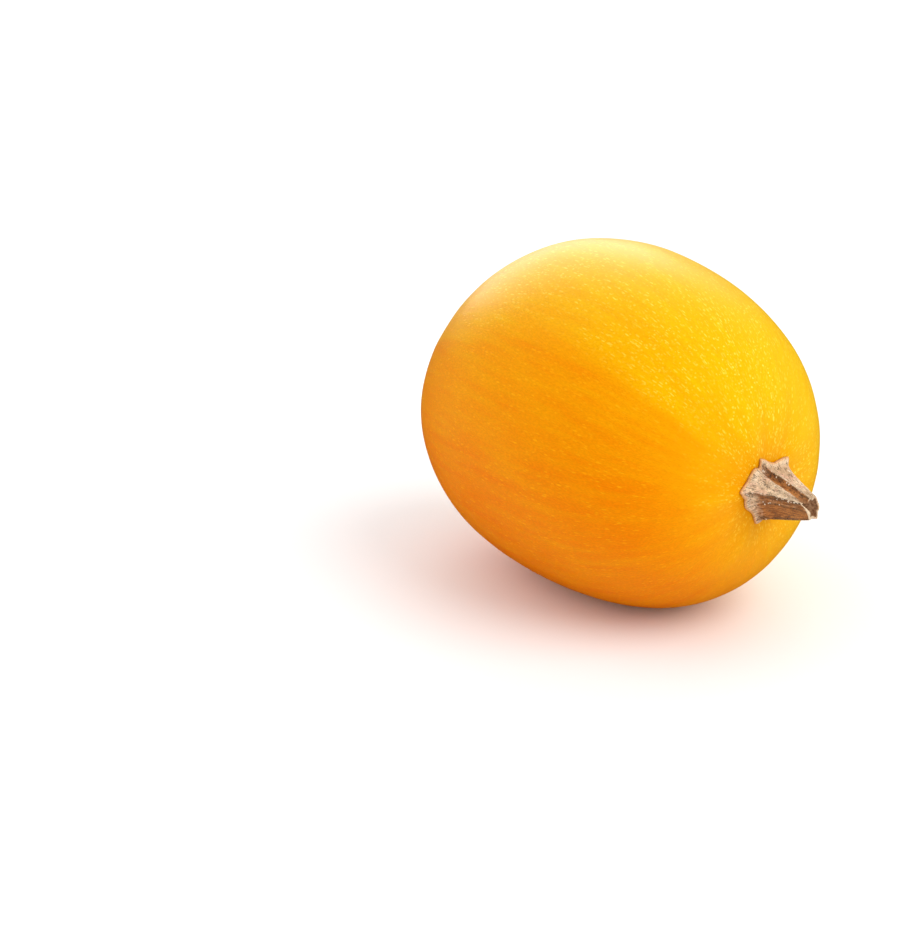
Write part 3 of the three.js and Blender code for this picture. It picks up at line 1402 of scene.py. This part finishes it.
@dataclass(frozen=True)
class StemFinish:
    """Dry corky stem: pale faces, brown grooves, dark specks and pale warts on the ridges.

    Attributes:
        pale: The palest faces.
        beige: The darker patches on them.
        pink: The rosy patches on them.
        edge: The thin edge of the foot.
        tan: The paler strands of the grooves.
        brown: The darker strands of the grooves.
        dark: The specks and the hatching.
        grey: The cracks, and the grey among the specks.
        wart: The warts.
        broken: The rim where it is freshly broken.
        inside: The walls of the hollow.
        inside_dark: The pits in them.
        roughness: Roughness of the cork.
        specular: Strength of its gloss.
        fibre_depth: Depth of the fibres, in metres.
        bump: How much of that depth shows.
    """

    pale: Colour = colour(0.86, 0.65, 0.44)
    beige: Colour = colour(0.60, 0.41, 0.25)
    pink: Colour = colour(0.76, 0.48, 0.33)
    edge: Colour = colour(0.74, 0.39, 0.15)
    tan: Colour = colour(0.51, 0.205, 0.056)
    brown: Colour = colour(0.29, 0.105, 0.029)
    dark: Colour = colour(0.040, 0.026, 0.016)
    grey: Colour = colour(0.145, 0.092, 0.050)
    wart: Colour = colour(0.88, 0.78, 0.62)
    broken: Colour = colour(0.82, 0.62, 0.41)
    inside: Colour = colour(0.58, 0.33, 0.17)
    inside_dark: Colour = colour(0.24, 0.10, 0.042)
    roughness: float = 0.78
    specular: float = 0.3
    fibre_depth: float = 0.00028
    bump: float = 0.9

    def material(self) -> bpy.types.Material:
        """Builds the stem's node tree.

        Returns:
            The material.
        """
        material, graph, shader = new_material("corky_stem")
        place, grown = graph.place(), graph.mark(Mark.PLACE)
        cloud = mottle(graph, place, 420.0, 4.0, 2.6)
        strands = mottle(graph, graph.stretch(grown, 1300.0, 1300.0, 170.0), 1.0, 3.0, 2.6)
        cracks = mottle(graph, graph.stretch(grown, 2300.0, 2300.0, 420.0), 1.0, 2.0, 2.6)
        pits = mottle(graph, place, 900.0, 4.0, 2.6)
        cracked = graph.ease(cracks, 0.56, 0.98, 0.0, 0.8)
        specked = self._specked(graph, place, grown)

        base = graph.blend(cracked, self._faces(graph, cloud, strands), self.grey)
        greyed = graph.ease(graph.stray(graph.mark(Mark.SPECK), cloud, 0.5), 0.20, 0.85, 0.0, 0.65)
        base = graph.blend(greyed, base, self.grey)
        base = graph.blend(specked, base, self.dark)
        base = graph.blend(graph.ease(graph.mark(Mark.HEIGHT), 0.0, 0.04, 0.85, 0.0), base, self.edge)
        base = graph.shade(base, graph.ease(graph.noise(place, 1900.0, 2.0), 0.35, 0.68, 0.80, 1.16))
        base = graph.blend(graph.ease(graph.mark(Mark.WART), 0.12, 0.5), base, self.wart)
        core = graph.blend(pits, self.inside_dark, self.inside)
        base = graph.blend(graph.mark(Mark.HOLLOW), base, core)
        rim = graph.ease(graph.stray(graph.mark(Mark.RIM), cloud, 0.24), 0.3, 0.6)
        split = graph.blend(graph.ease(pits, 0.2, 0.5, 0.35, 0.0), self.broken, self.beige)
        graph.feed(shader.inputs["Base Color"], graph.blend(rim, base, split))
        graph.feed(shader.inputs["Roughness"], graph.stray(self.roughness, cloud, 0.16, clamp=True))

        grain = graph.noise(place, 1500.0, 4.0, 0.6)
        inner = graph.math("MULTIPLY", graph.mark(Mark.HOLLOW), pits)
        height = graph.weighted((strands, 0.9), (grain, 0.6), (specked, -0.7), (cracked, -0.5), (inner, 1.2))
        graph.feed(shader.inputs["Normal"], graph.bump(height, self.bump, self.fibre_depth))
        graph.feed(shader.inputs["Specular IOR Level"], self.specular)
        return material

    def _faces(self, graph: Graph, cloud: bpy.types.NodeSocket,
               strands: bpy.types.NodeSocket) -> bpy.types.NodeSocket:
        """Colours the pale faces and the brown grooves.

        Args:
            graph: The material's graph.
            cloud: Cloudy patches.
            strands: Strands that run along the stem.

        Returns:
            The colour.
        """
        patches = mottle(graph, graph.mark(Mark.PLACE), 150.0, 3.0, 3.0)
        rosy = mottle(graph, graph.place(), 230.0, 2.0, 3.4)
        light = graph.blend(graph.ease(patches, 0.28, 0.98), self.pale, self.beige)
        light = graph.blend(graph.ease(rosy, 0.55, 0.95, 0.0, 0.7), light, self.pink)
        deep = graph.blend(graph.ease(strands, 0.25, 0.75), self.brown, self.tan)
        share = graph.stray(graph.stray(graph.mark(Mark.FACE), cloud, 0.22), strands, 0.24)
        return graph.blend(graph.ease(share, 0.22, 0.78), deep, light)

    @staticmethod
    def _specked(graph: Graph, place: bpy.types.NodeSocket,
                 grown: bpy.types.NodeSocket) -> bpy.types.NodeSocket:
        """Sets dark specks beside the ridges and fine hatching on the faces.

        Args:
            graph: The material's graph.
            place: The place on the object.
            grown: Coordinates that follow the ridges.

        Returns:
            1 in a speck and 0 beside it.
        """
        grains = graph.group(FLECKS, Vector=graph.stretch(place, 1500.0, 1700.0, 1700.0),
                             Size=0.46, Softness=0.16, Cover=0.95)
        share = graph.math("ADD", graph.mark(Mark.SPECK), 0.03)
        dense = graph.math("LESS_THAN", grains["Tone"], share)
        specked = graph.math("MULTIPLY", grains["Mask"], graph.math("MULTIPLY", dense, 0.88))
        hatching = mottle(graph, graph.stretch(grown, 700.0, 700.0, 1500.0), 1.0, 2.0, 4.0)
        hatched = graph.math("MULTIPLY", graph.ease(hatching, 0.62, 0.9), graph.mark(Mark.HATCH))
        return graph.math("MAXIMUM", specked, graph.math("MULTIPLY", hatched, 0.6))


@dataclass(frozen=True)
class TableFinish:
    """Plain matt white table.

    Attributes:
        white: Its colour.
        roughness: Its roughness.
    """

    white: Colour = colour(0.92, 0.92, 0.92)
    roughness: float = 0.9

    def material(self) -> bpy.types.Material:
        """Builds the table's node tree.

        Returns:
            The material.
        """
        material, graph, shader = new_material("white_table")
        graph.feed(shader.inputs["Base Color"], self.white)
        graph.feed(shader.inputs["Roughness"], self.roughness)
        graph.feed(shader.inputs["Specular IOR Level"], 0.0)
        return material


# ------------------------------------------------------------------ pieces


@dataclass
class SquashBody:
    """The fruit itself, a fine mesh of the form with its lumps.

    Attributes:
        form: The fruit's outer shape.
        unevenness: Its lumps.
        skin_tone_and_shade: The turn of its colour, partly its own and partly painted light and shade.
        around_count: Points in a ring.
        ring_count: Rings from pole to pole.
        crowding: How much closer together the rings stand towards the poles.
        calm: Distances from the long axis over which the lumps grow from nothing.
        stem_shade_reach: Distance over which the painted shade round the stem's foot fades.
        scar: Distances from the long axis over which the scar fades.
        ground: Heights above the table over which the pale spot fades.
    """

    form: FruitForm = field(default_factory=FruitForm)
    unevenness: Unevenness = field(default_factory=Unevenness)
    skin_tone_and_shade: SkinToneAndShade = field(default_factory=SkinToneAndShade)
    around_count: int = 480
    ring_count: int = 204
    crowding: float = 0.05
    calm: tuple[float, float] = (0.018, 0.045)
    stem_shade_reach: float = 0.027
    scar: tuple[float, float] = (0.0025, 0.0080)
    ground: tuple[float, float] = (-0.0006, 0.0012)

    def middle(self) -> np.ndarray:
        """Finds where the fruit's middle stands, so that the form fills its CAD solid.

        Returns:
            The place of the form's own origin.
        """
        own_low, own_high = self.form.box()
        low, high = (np.array(corner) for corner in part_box(Node.BODY.value))
        offset = (low + high) / 2.0 - (own_low + own_high) / 2.0
        offset[2] = low[2] - own_low[2]
        return offset

    def build(self) -> bpy.types.Object:
        """Builds the fruit's mesh, flat where it rests.

        Returns:
            The finished piece, without its material.
        """
        share = np.arange(1, self.ring_count) / self.ring_count
        along = (math.pi * (share - self.crowding * np.sin(TURN * share)))[:, None]
        along, around = np.broadcast_arrays(along, ring_angles(self.around_count))
        outward = self.form.outward(along, around)
        lumps = self.unevenness.at(outward, self.form, around)
        lumps = lumps * smooth_step(*self.calm, self.form.from_pole(along))
        middle = self.middle()
        points = self.form.skin(along, around) + lumps[..., None] * outward + middle
        floor = float(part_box(Node.BODY.value)[0][2])
        lift = points[..., 2] - floor
        points[..., 2] = floor + np.maximum(lift, 0.0)
        ends = self.form.skin(np.array([0.0, math.pi]), np.array([0.0, 0.0])) + middle
        surface = RingSurface(points, ends[0], ends[1], self._marks(along, around, lift))
        return surface.make("squash_rind")

    def _marks(self, along: np.ndarray, around: np.ndarray, lift: np.ndarray) -> dict[Mark, np.ndarray]:
        """Works out what the rind's finish reads.

        Args:
            along: Angles from the stem pole.
            around: Angles about the long axis.
            lift: Heights above the table, negative where the flat spot was cut.

        Returns:
            The values for each point of the rings.
        """
        pole = self.form.from_pole(along)
        width = self.form.half_width
        place = [width * np.cos(around), width * np.sin(around), self.form.half_length * along]
        stem_half = along < math.pi / 2.0
        signed = np.where(stem_half, pole, -pole)
        return {
            Mark.PLACE: np.stack(place, axis=-1),
            Mark.TONE_AND_SHADE: self.skin_tone_and_shade.at(self.form.outward(along, around), around, signed),
            Mark.POLE: pole / width,
            # Read by the rind's finish for painted light and shade on the ribs.
            Mark.RIB: self.form.rib(along, around),
            # Painted shade round the stem's foot.
            Mark.STEM_SHADE: bell(pole, self.stem_shade_reach) * stem_half,
            Mark.SCAR: (1.0 - smooth_step(*self.scar, pole)) * ~stem_half,
            Mark.GROUND: 1.0 - smooth_step(*self.ground, lift),
        }

    def dress(self, piece: bpy.types.Object, finish: RindFinish) -> None:
        """Gives the fruit its material."""
        piece.data.materials.append(finish.material())


@dataclass
class Stem:
    """The woody stem: flared foot, twisting ridges, and an end broken open on one side.

    Angles are about the stem's axis, from +Y towards +Z, and shares are of its length,
    from 0 at the foot to 1 at the tip.

    Attributes:
        form: The fruit's form, which the foot follows.
        ridges: The stem's ridges.
        end: Its broken end.
        tone: Its pale, speckled and hatched places.
        gap: Space between the foot and the skin.
        length: Length of the stem along X.
        centre: Where its middle line starts, along Y and Z.
        lean: How far that line has moved by the tip, along Y and Z.
        sag: How far the line's middle strays, along Y and Z.
        tip_radius: Radius at the tip.
        growth: How much wider the foot is than the tip.
        flare: How far the foot flares out beyond that.
        flare_reach: Share over which it does.
        lip: Thickness of the foot's edge.
        lip_fade: How soon the lip is lost up the side.
        groove_foot: Depth of a full groove at the foot, as a share of the radius.
        groove_tip: Its depth at the tip.
        scallops: The waves of the foot's edge.
        scallop_fade: How soon they are lost up the side.
        strands: The fibres along the stem, before their height.
        strand_stretch: How much they change along the stem beside across it.
        strand_height: Their height.
        knobs: The lumps, before their height.
        knob_height: How much higher they are on a main ridge than in a groove.
        knob_least: Their height in a groove beside that.
        relief_foot: Part of the side over which fibres and lumps start at the foot.
        relief_tip: How much of them is left at the tip.
        wart_height: Height of the warts.
        wart_shares: Shares between which they stand.
        wart_away: How far beyond their ridge they stand and stray, in degrees.
        wart_size: Their smallest and largest radius.
        wart_clearness: How clear the faintest and the clearest are.
        rim_from: Part of the side's height at which the rim starts.
        around_count: Points in a ring.
        foot_rings: Rings under the foot.
        side_rings: Rings up the side.
        side_crowding: How much closer together these stand towards the foot.
        hollow_rings: Rings in the hollow.
        seed: Picks where the warts stand.
    """

    form: FruitForm = field(default_factory=FruitForm)
    ridges: Ridges = field(default_factory=Ridges)
    end: BrokenEnd = field(default_factory=BrokenEnd)
    tone: StemTone = field(default_factory=StemTone)
    gap: float = 0.0003
    length: float = 0.0325
    centre: tuple[float, float] = (0.003, -0.0005)
    lean: tuple[float, float] = (-0.0023, 0.0009)
    sag: tuple[float, float] = (0.0002, -0.0005)
    tip_radius: float = 0.0052
    growth: float = 0.010
    flare: float = 0.0026
    flare_reach: float = 0.08
    lip: float = 0.0009
    lip_fade: int = 5
    groove_foot: float = 0.27
    groove_tip: float = 0.24
    scallops: tuple[Noise, ...] = (Noise(21, 0.22, 0.00045), Noise(22, 0.09, 0.00022))
    scallop_fade: int = 12
    strands: tuple[Noise, ...] = (Noise(23, 0.0009), Noise(24, 0.00045, 0.6))
    strand_stretch: float = 0.12
    strand_height: float = 0.00011
    knobs: tuple[Noise, ...] = (Noise(25, 0.0017), Noise(28, 0.0008, 0.6))
    knob_height: float = 0.00012
    knob_least: float = 0.4
    relief_foot: float = 0.04
    relief_tip: float = 0.55
    wart_height: float = 0.00030
    wart_shares: tuple[float, float] = (0.05, 0.85)
    wart_away: tuple[float, float] = (3.5, 3.0)
    wart_size: tuple[float, float] = (0.00024, 0.00042)
    wart_clearness: tuple[float, float] = (0.5, 1.0)
    rim_from: float = 0.99
    around_count: int = 320
    foot_rings: int = 12
    side_rings: int = 176
    side_crowding: float = 1.2
    hollow_rings: int = 34
    seed: int = 21

    def axis(self, share: np.ndarray | float) -> np.ndarray:
        """Gives the middle of the stem.

        Args:
            share: Shares of the length, 0 at the foot and 1 at the tip.

        Returns:
            The points, in the last dimension.
        """
        bow = 4.0 * share * (1.0 - share)
        foot = float(self.form.reach(np.array(self.centre[0]), np.array(self.centre[1])))
        return np.stack(
            [
                foot + self.length * share,
                self.centre[0] + self.lean[0] * share + self.sag[0] * bow,
                self.centre[1] + self.lean[1] * share + self.sag[1] * bow,
            ],
            axis=-1,
        )

    def radius(self, share: np.ndarray, around: np.ndarray) -> np.ndarray:
        """Gives the stem's radius.

        Args:
            share: Shares of the length.
            around: Angles about the axis.

        Returns:
            Distances from the middle of the stem to its outside.
        """
        spot = self.ridges.spot(share, around)
        groove = self.groove_foot + (self.groove_tip - self.groove_foot) * share
        depth = groove * (1.0 - self.ridges.crest(spot))
        reach, tip_reach = (self.ridges.between(name, spot) for name in ("reach", "tip_reach"))
        flare = self.flare * np.exp(-share / self.flare_reach)
        ridge = self.tip_radius + self.growth * (1.0 - share) + flare
        scooped = 1.0 - self.end.scoop(share, around)
        return ridge * (reach + (tip_reach - reach) * share) * (1.0 - depth) * scooped

    def _beside(self, share: np.ndarray, radius: np.ndarray, around: np.ndarray) -> np.ndarray:
        """Gives points beside the middle of the stem.

        Args:
            share: Shares of the length.
            radius: Distances from the middle.
            around: Angles about the axis.

        Returns:
            The points, in the last dimension.
        """
        middle = self.axis(share)
        return np.stack(
            [
                middle[..., 0] + 0.0 * around,
                middle[..., 1] + radius * np.cos(around),
                middle[..., 2] + radius * np.sin(around),
            ],
            axis=-1,
        )

    def _underside(self, around: np.ndarray) -> np.ndarray:
        """Makes the rings of the foot's underside, which follow the skin.

        Args:
            around: Angles of the points of a ring.

        Returns:
            The points.
        """
        share = (np.arange(1, self.foot_rings + 1) / self.foot_rings)[:, None]
        edge = self.radius(np.zeros_like(around), around) + layered(self.scallops, on_circle(around))
        points = self._beside(0.0 * share, share * edge, around)
        points[..., 0] = self.form.reach(points[..., 1], points[..., 2]) + self.gap
        return points

    def _grown(self, share: np.ndarray, spot: Spot) -> np.ndarray:
        """Unrolls the stem along its ridges, so that fibres can follow them.

        Args:
            share: Shares of the length.
            spot: Where the places lie among the ridges.

        Returns:
            Places beside an even rod of the same length.
        """
        angle = self.ridges.foot_angle(spot)
        rod = self.tip_radius + self.growth / 2.0
        return np.stack([rod * np.cos(angle), rod * np.sin(angle), self.length * share], axis=-1)

    def _relief(self, rise: np.ndarray, spot: Spot, grown: np.ndarray, plain: np.ndarray) -> np.ndarray:
        """Works out how far the fibres and lumps stand out.

        Args:
            rise: How far up the side the places are, from 0 to 1.
            spot: Where they lie among the ridges.
            grown: The places along the ridges.
            plain: The places.

        Returns:
            Heights above the plain side.
        """
        strands = layered(self.strands, grown * np.array([1.0, 1.0, self.strand_stretch]))
        knobs = layered(self.knobs, plain) * (self.knob_least + self.ridges.crest(spot))
        relief = self.strand_height * strands + self.knob_height * knobs
        fade = self.relief_tip + (1.0 - self.relief_tip) * (1.0 - rise)
        return relief * np.minimum(1.0, rise / self.relief_foot) * fade

    def _outside(self, around: np.ndarray) -> tuple[np.ndarray, dict[Mark, np.ndarray]]:
        """Makes the rings of the outside, with fibres, lumps and warts.

        Args:
            around: Angles of the points of a ring.

        Returns:
            The points, and the values that the finish reads.
        """
        lip = self._underside(around)[-1, :, 0] + self.lip - self.axis(0.0)[0]
        rise = np.linspace(0.0, 1.0, self.side_rings)[:, None] ** self.side_crowding
        settle = 1.0 - rise
        share, around = np.broadcast_arrays(rise * self.end.share(around), around)
        scallops = layered(self.scallops, on_circle(around[0])) * settle**self.scallop_fade
        radius = self.radius(share, around) + scallops
        spot = self.ridges.spot(share, around)
        grown = self._grown(share, spot)
        plain = self._beside(share, radius, around)
        wart = self._warts(plain)
        radius = radius + self._relief(rise, spot, grown, plain) + self.wart_height * wart
        points = self._beside(share, radius, around)
        points[..., 0] += lip * settle**self.lip_fade

        hollow = self.end.hollow_side(share, around)
        marks = {
            Mark.PLACE: grown,
            Mark.FACE: self.tone.face(self.ridges, spot, share, plain) * (1.0 - hollow),
            Mark.SPECK: self.tone.specks(self.ridges, share, around, plain) * (1.0 - hollow),
            Mark.HATCH: self.tone.hatch(self.ridges, spot, share),
            Mark.HEIGHT: share,
            Mark.RIM: smooth_step(self.rim_from, 1.0, rise) * (1.0 - hollow) * self.end.fresh(around),
            Mark.WART: wart,
            Mark.HOLLOW: self.end.open_strength * hollow,
        }
        return points, marks

    def _warts(self, plain: np.ndarray) -> np.ndarray:
        """Scatters tiny round corky warts along the speckled ridges.

        Args:
            plain: The places.

        Returns:
            1 on a clear wart, less on a faint one, and 0 elsewhere.
        """
        rng = np.random.default_rng(self.seed)
        total = np.zeros(plain.shape[:-1])
        for ridge in self.ridges.every:
            for _ in range(ridge.warts):
                at = np.array(rng.uniform(*self.wart_shares))
                angle = ridge.angle(at) + math.radians(rng.normal(*self.wart_away))
                middle = self._beside(at, self.radius(at, angle), angle)
                away = np.linalg.norm(plain - middle, axis=-1)
                clear = rng.uniform(*self.wart_clearness)
                total = np.maximum(total, clear * bell(away, rng.uniform(*self.wart_size)))
        return total

    def _hollow(self, around: np.ndarray) -> tuple[np.ndarray, dict[Mark, np.ndarray]]:
        """Makes the rings of the broken rim and the hollow inside it.

        Args:
            around: Angles of the points of a ring.

        Returns:
            The points, and the values that the finish reads.
        """
        end = self.end
        way_in = np.linspace(0.0, 1.0, self.hollow_rings + 1)[:-1][:, None]
        top = end.share(around)
        inner = end.inner_radius(self.radius(top, around), around)
        narrowing = np.cos((math.pi / 2.0) * way_in**end.narrowing)
        points = self._beside(top + 0.0 * way_in, inner * narrowing, around)
        floor = self.axis(end.cut)[0] - end.hollow_depth
        down = way_in**end.sinking
        points[..., 0] = points[..., 0] * (1.0 - down) + floor * down
        to_rim, to_middle = end.pit_fade
        fade = np.minimum(1.0, way_in * to_rim) * np.minimum(1.0, (1.0 - way_in) * to_middle)
        points[..., 0] += layered(end.pits, points) * fade

        wide = points[..., 0] * 0.0
        inward = np.stack([narrowing, narrowing, np.ones_like(narrowing)], axis=-1)
        hollow = end.hollow_side(top, around)
        rim = (1.0 - smooth_step(*end.rim_until, way_in)) * (1.0 - hollow) * end.fresh(around)
        inside = np.maximum(smooth_step(*end.inside_from, way_in), end.open_strength * hollow)
        marks = {
            Mark.PLACE: self._grown(top, self.ridges.spot(top, around)) * inward,
            Mark.FACE: wide + end.rim_tone,
            Mark.SPECK: wide,
            Mark.HATCH: wide,
            Mark.HEIGHT: wide + top,
            Mark.RIM: wide + rim,
            Mark.WART: wide,
            Mark.HOLLOW: wide + inside,
        }
        return points, marks

    def build(self, middle: np.ndarray) -> bpy.types.Object:
        """Builds the stem's mesh.

        Args:
            middle: Where the fruit's middle stands.

        Returns:
            The finished piece, without its material.
        """
        around = ring_angles(self.around_count)
        outside, outer = self._outside(around)
        hollow, inner = self._hollow(around)
        points = np.concatenate([self._underside(around), outside, hollow]) + middle
        marks = {}
        for mark, values in outer.items():
            under = np.repeat(values[:1], self.foot_rings, axis=0)
            marks[mark] = np.concatenate([under, values, inner[mark]])
        foot = self.axis(0.0) + np.array([self.gap, 0.0, 0.0]) + middle
        floor = self.axis(self.end.cut) - np.array([self.end.hollow_depth, 0.0, 0.0]) + middle
        return RingSurface(points, foot, floor, marks).make("woody_stem", flip=True)

    def dress(self, piece: bpy.types.Object, finish: StemFinish) -> None:
        """Gives the stem its material."""
        piece.data.materials.append(finish.material())


# ------------------------------------------------------------------ studio


class LightUse(Enum):
    """What a studio light is for."""

    FILL = "lights surfaces without showing in their gloss"
    SHINE = "shows only as a soft gloss"


@dataclass(frozen=True)
class SoftLight:
    """One very wide, soft studio light, far away.

    Attributes:
        name: What it is for.
        azimuth: Its direction round the squash, in degrees, as for the camera.
        elevation: Its height, in degrees.
        width: How wide it looks from the squash, in degrees.
        strength: Its strength.
        use: Whether it lights surfaces or shows in their gloss.
    """

    name: str
    azimuth: float
    elevation: float
    width: float
    strength: float
    use: LightUse = LightUse.FILL


@dataclass
class Studio:
    """White table, bright sky, wide soft lights, and a camera.

    Attributes:
        azimuth: Direction of the camera round the squash, in degrees.
        elevation: Height of the camera over the squash, in degrees.
        distance: From the camera to the squash's middle.
        aside: How far the squash's middle stands right of the view's middle.
        above: How far it stands above the view's middle.
        lens: The camera's focal length, in millimetres.
        sensor: Width of its sensor, in millimetres.
        sight: How far it sees.
        table_radius: Radius of the table.
        table_corners: Number of corners of its round edge.
        soft_lights: The lights.
        sky_strength: Strength of the sky's light.
    """

    azimuth: float = 50.75
    elevation: float = 21.0
    distance: float = 1.1079
    aside: float = 0.0802
    above: float = 0.0210
    lens: float = 85.0
    sensor: float = 36.0
    sight: float = 50.0
    table_radius: float = 6.0
    table_corners: int = 96
    soft_lights: tuple[SoftLight, ...] = (
        SoftLight("right", 110.0, 45.0, 50.0, 1.3),
        SoftLight("behind", 220.0, 25.0, 50.0, 0.6),
        SoftLight("left", 300.0, 20.0, 60.0, 0.6),
        SoftLight("low_right", 100.0, 8.0, 60.0, 0.2),
        SoftLight("window", 242.0, 26.0, 50.0, 2.4, LightUse.SHINE),
        SoftLight("side_window", 215.0, 25.0, 30.0, 0.3, LightUse.SHINE),
    )
    sky_strength: float = 0.88

    @staticmethod
    def directions(azimuth: float, elevation: float) -> tuple[Vector, Vector, Vector]:
        """Works out a viewer's directions.

        Args:
            azimuth: Direction round the squash, in degrees.
            elevation: Height, in degrees.

        Returns:
            The directions to the viewer's right, up, and from the squash to the viewer.
        """
        turn, rise = math.radians(azimuth), math.radians(elevation)
        back = Vector((math.sin(turn) * math.cos(rise), -math.cos(turn) * math.cos(rise), math.sin(rise)))
        right = Vector((math.cos(turn), math.sin(turn), 0.0))
        return right, back.cross(right), back

    def table(self, height: float) -> bpy.types.Object:
        """Makes the table top, a wide disc.

        Args:
            height: Height of the top.

        Returns:
            The table.
        """
        edge = self.table_radius
        turns = ring_angles(self.table_corners)[0].tolist()
        corners = [(edge * math.cos(turn), edge * math.sin(turn), height) for turn in turns]
        mesh = bpy.data.meshes.new("table_top")
        mesh.from_pydata(corners, [], [tuple(range(self.table_corners))])
        mesh.materials.append(TableFinish().material())
        table = bpy.data.objects.new("table_top", mesh)
        table.visible_glossy = False
        bpy.context.scene.collection.objects.link(table)
        table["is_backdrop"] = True
        return table

    def sky(self) -> None:
        """Adds a soft bright sky that looks white itself and stays out of the gloss."""
        world = bpy.data.worlds.new("studio_sky")
        world.use_nodes = True
        graph = Graph(world.node_tree)
        background, output = graph.node("Background"), graph.node("OutputWorld")
        seen = graph.node("LightPath").outputs["Is Camera Ray"]
        strength = graph.math("MULTIPLY_ADD", seen, 1.0 - self.sky_strength, self.sky_strength)
        graph.feed(background.inputs["Color"], colour(1.0, 1.0, 1.0))
        graph.feed(background.inputs["Strength"], strength)
        graph.feed(output.inputs["Surface"], background.outputs[0])
        bpy.context.scene.world = world
        world.cycles_visibility.glossy = False

    def lights(self) -> None:
        """Adds the soft lights."""
        for soft in self.soft_lights:
            lamp = bpy.data.lights.new(soft.name, "SUN")
            lamp.energy = soft.strength
            lamp.angle = math.radians(soft.width)
            light = bpy.data.objects.new(soft.name, lamp)
            right, up, back = self.directions(soft.azimuth, soft.elevation)
            light.matrix_world = Matrix((right, up, back)).transposed().to_4x4()
            light.visible_glossy = soft.use is LightUse.SHINE
            light.visible_diffuse = soft.use is LightUse.FILL
            bpy.context.scene.collection.objects.link(light)

    def camera(self, middle: Vector) -> bpy.types.Object:
        """Adds the camera.

        Args:
            middle: Where the fruit's middle stands.

        Returns:
            The camera, which is also the scene's camera.
        """
        data = bpy.data.cameras.new("camera")
        data.lens = self.lens
        data.sensor_width = self.sensor
        data.clip_end = self.sight
        camera = bpy.data.objects.new("camera", data)
        right, up, back = self.directions(self.azimuth, self.elevation)
        place = middle - right * self.aside - up * self.above + back * self.distance
        camera.matrix_world = Matrix.Translation(place) @ Matrix((right, up, back)).transposed().to_4x4()
        bpy.context.scene.collection.objects.link(camera)
        bpy.context.scene.camera = camera
        return camera

    def tone(self) -> None:
        """Keeps colours as they are lit, without a film curve."""
        bpy.context.scene.view_settings.view_transform = "Standard"


def attach(piece: bpy.types.Object, node: Node) -> None:
    """Declares what a piece stands for.

    Args:
        piece: The modelled piece.
        node: The CAD node that it replaces.
    """
    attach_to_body(piece, "root")
    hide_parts(node.value)
    log.info("%s: %d faces, stands for %s", piece.name, len(piece.data.polygons), node.value)


def main() -> None:
    """Builds the squash, the stem and the studio."""
    cad_box = [list(corner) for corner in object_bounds()]
    body = SquashBody()
    middle = body.middle()
    rind = body.build()
    body.dress(rind, RindFinish())
    attach(rind, Node.BODY)

    stem = Stem(form=body.form)
    wood = stem.build(middle)
    stem.dress(wood, StemFinish())
    attach(wood, Node.STEM)

    studio = Studio()
    studio.table(float(cad_box[0][2]))
    studio.sky()
    studio.lights()
    studio.camera(Vector(middle.tolist()))
    studio.tone()


if __name__ == "__main__":
    logging.basicConfig(level=logging.INFO, format="%(name)s: %(message)s")
    main()
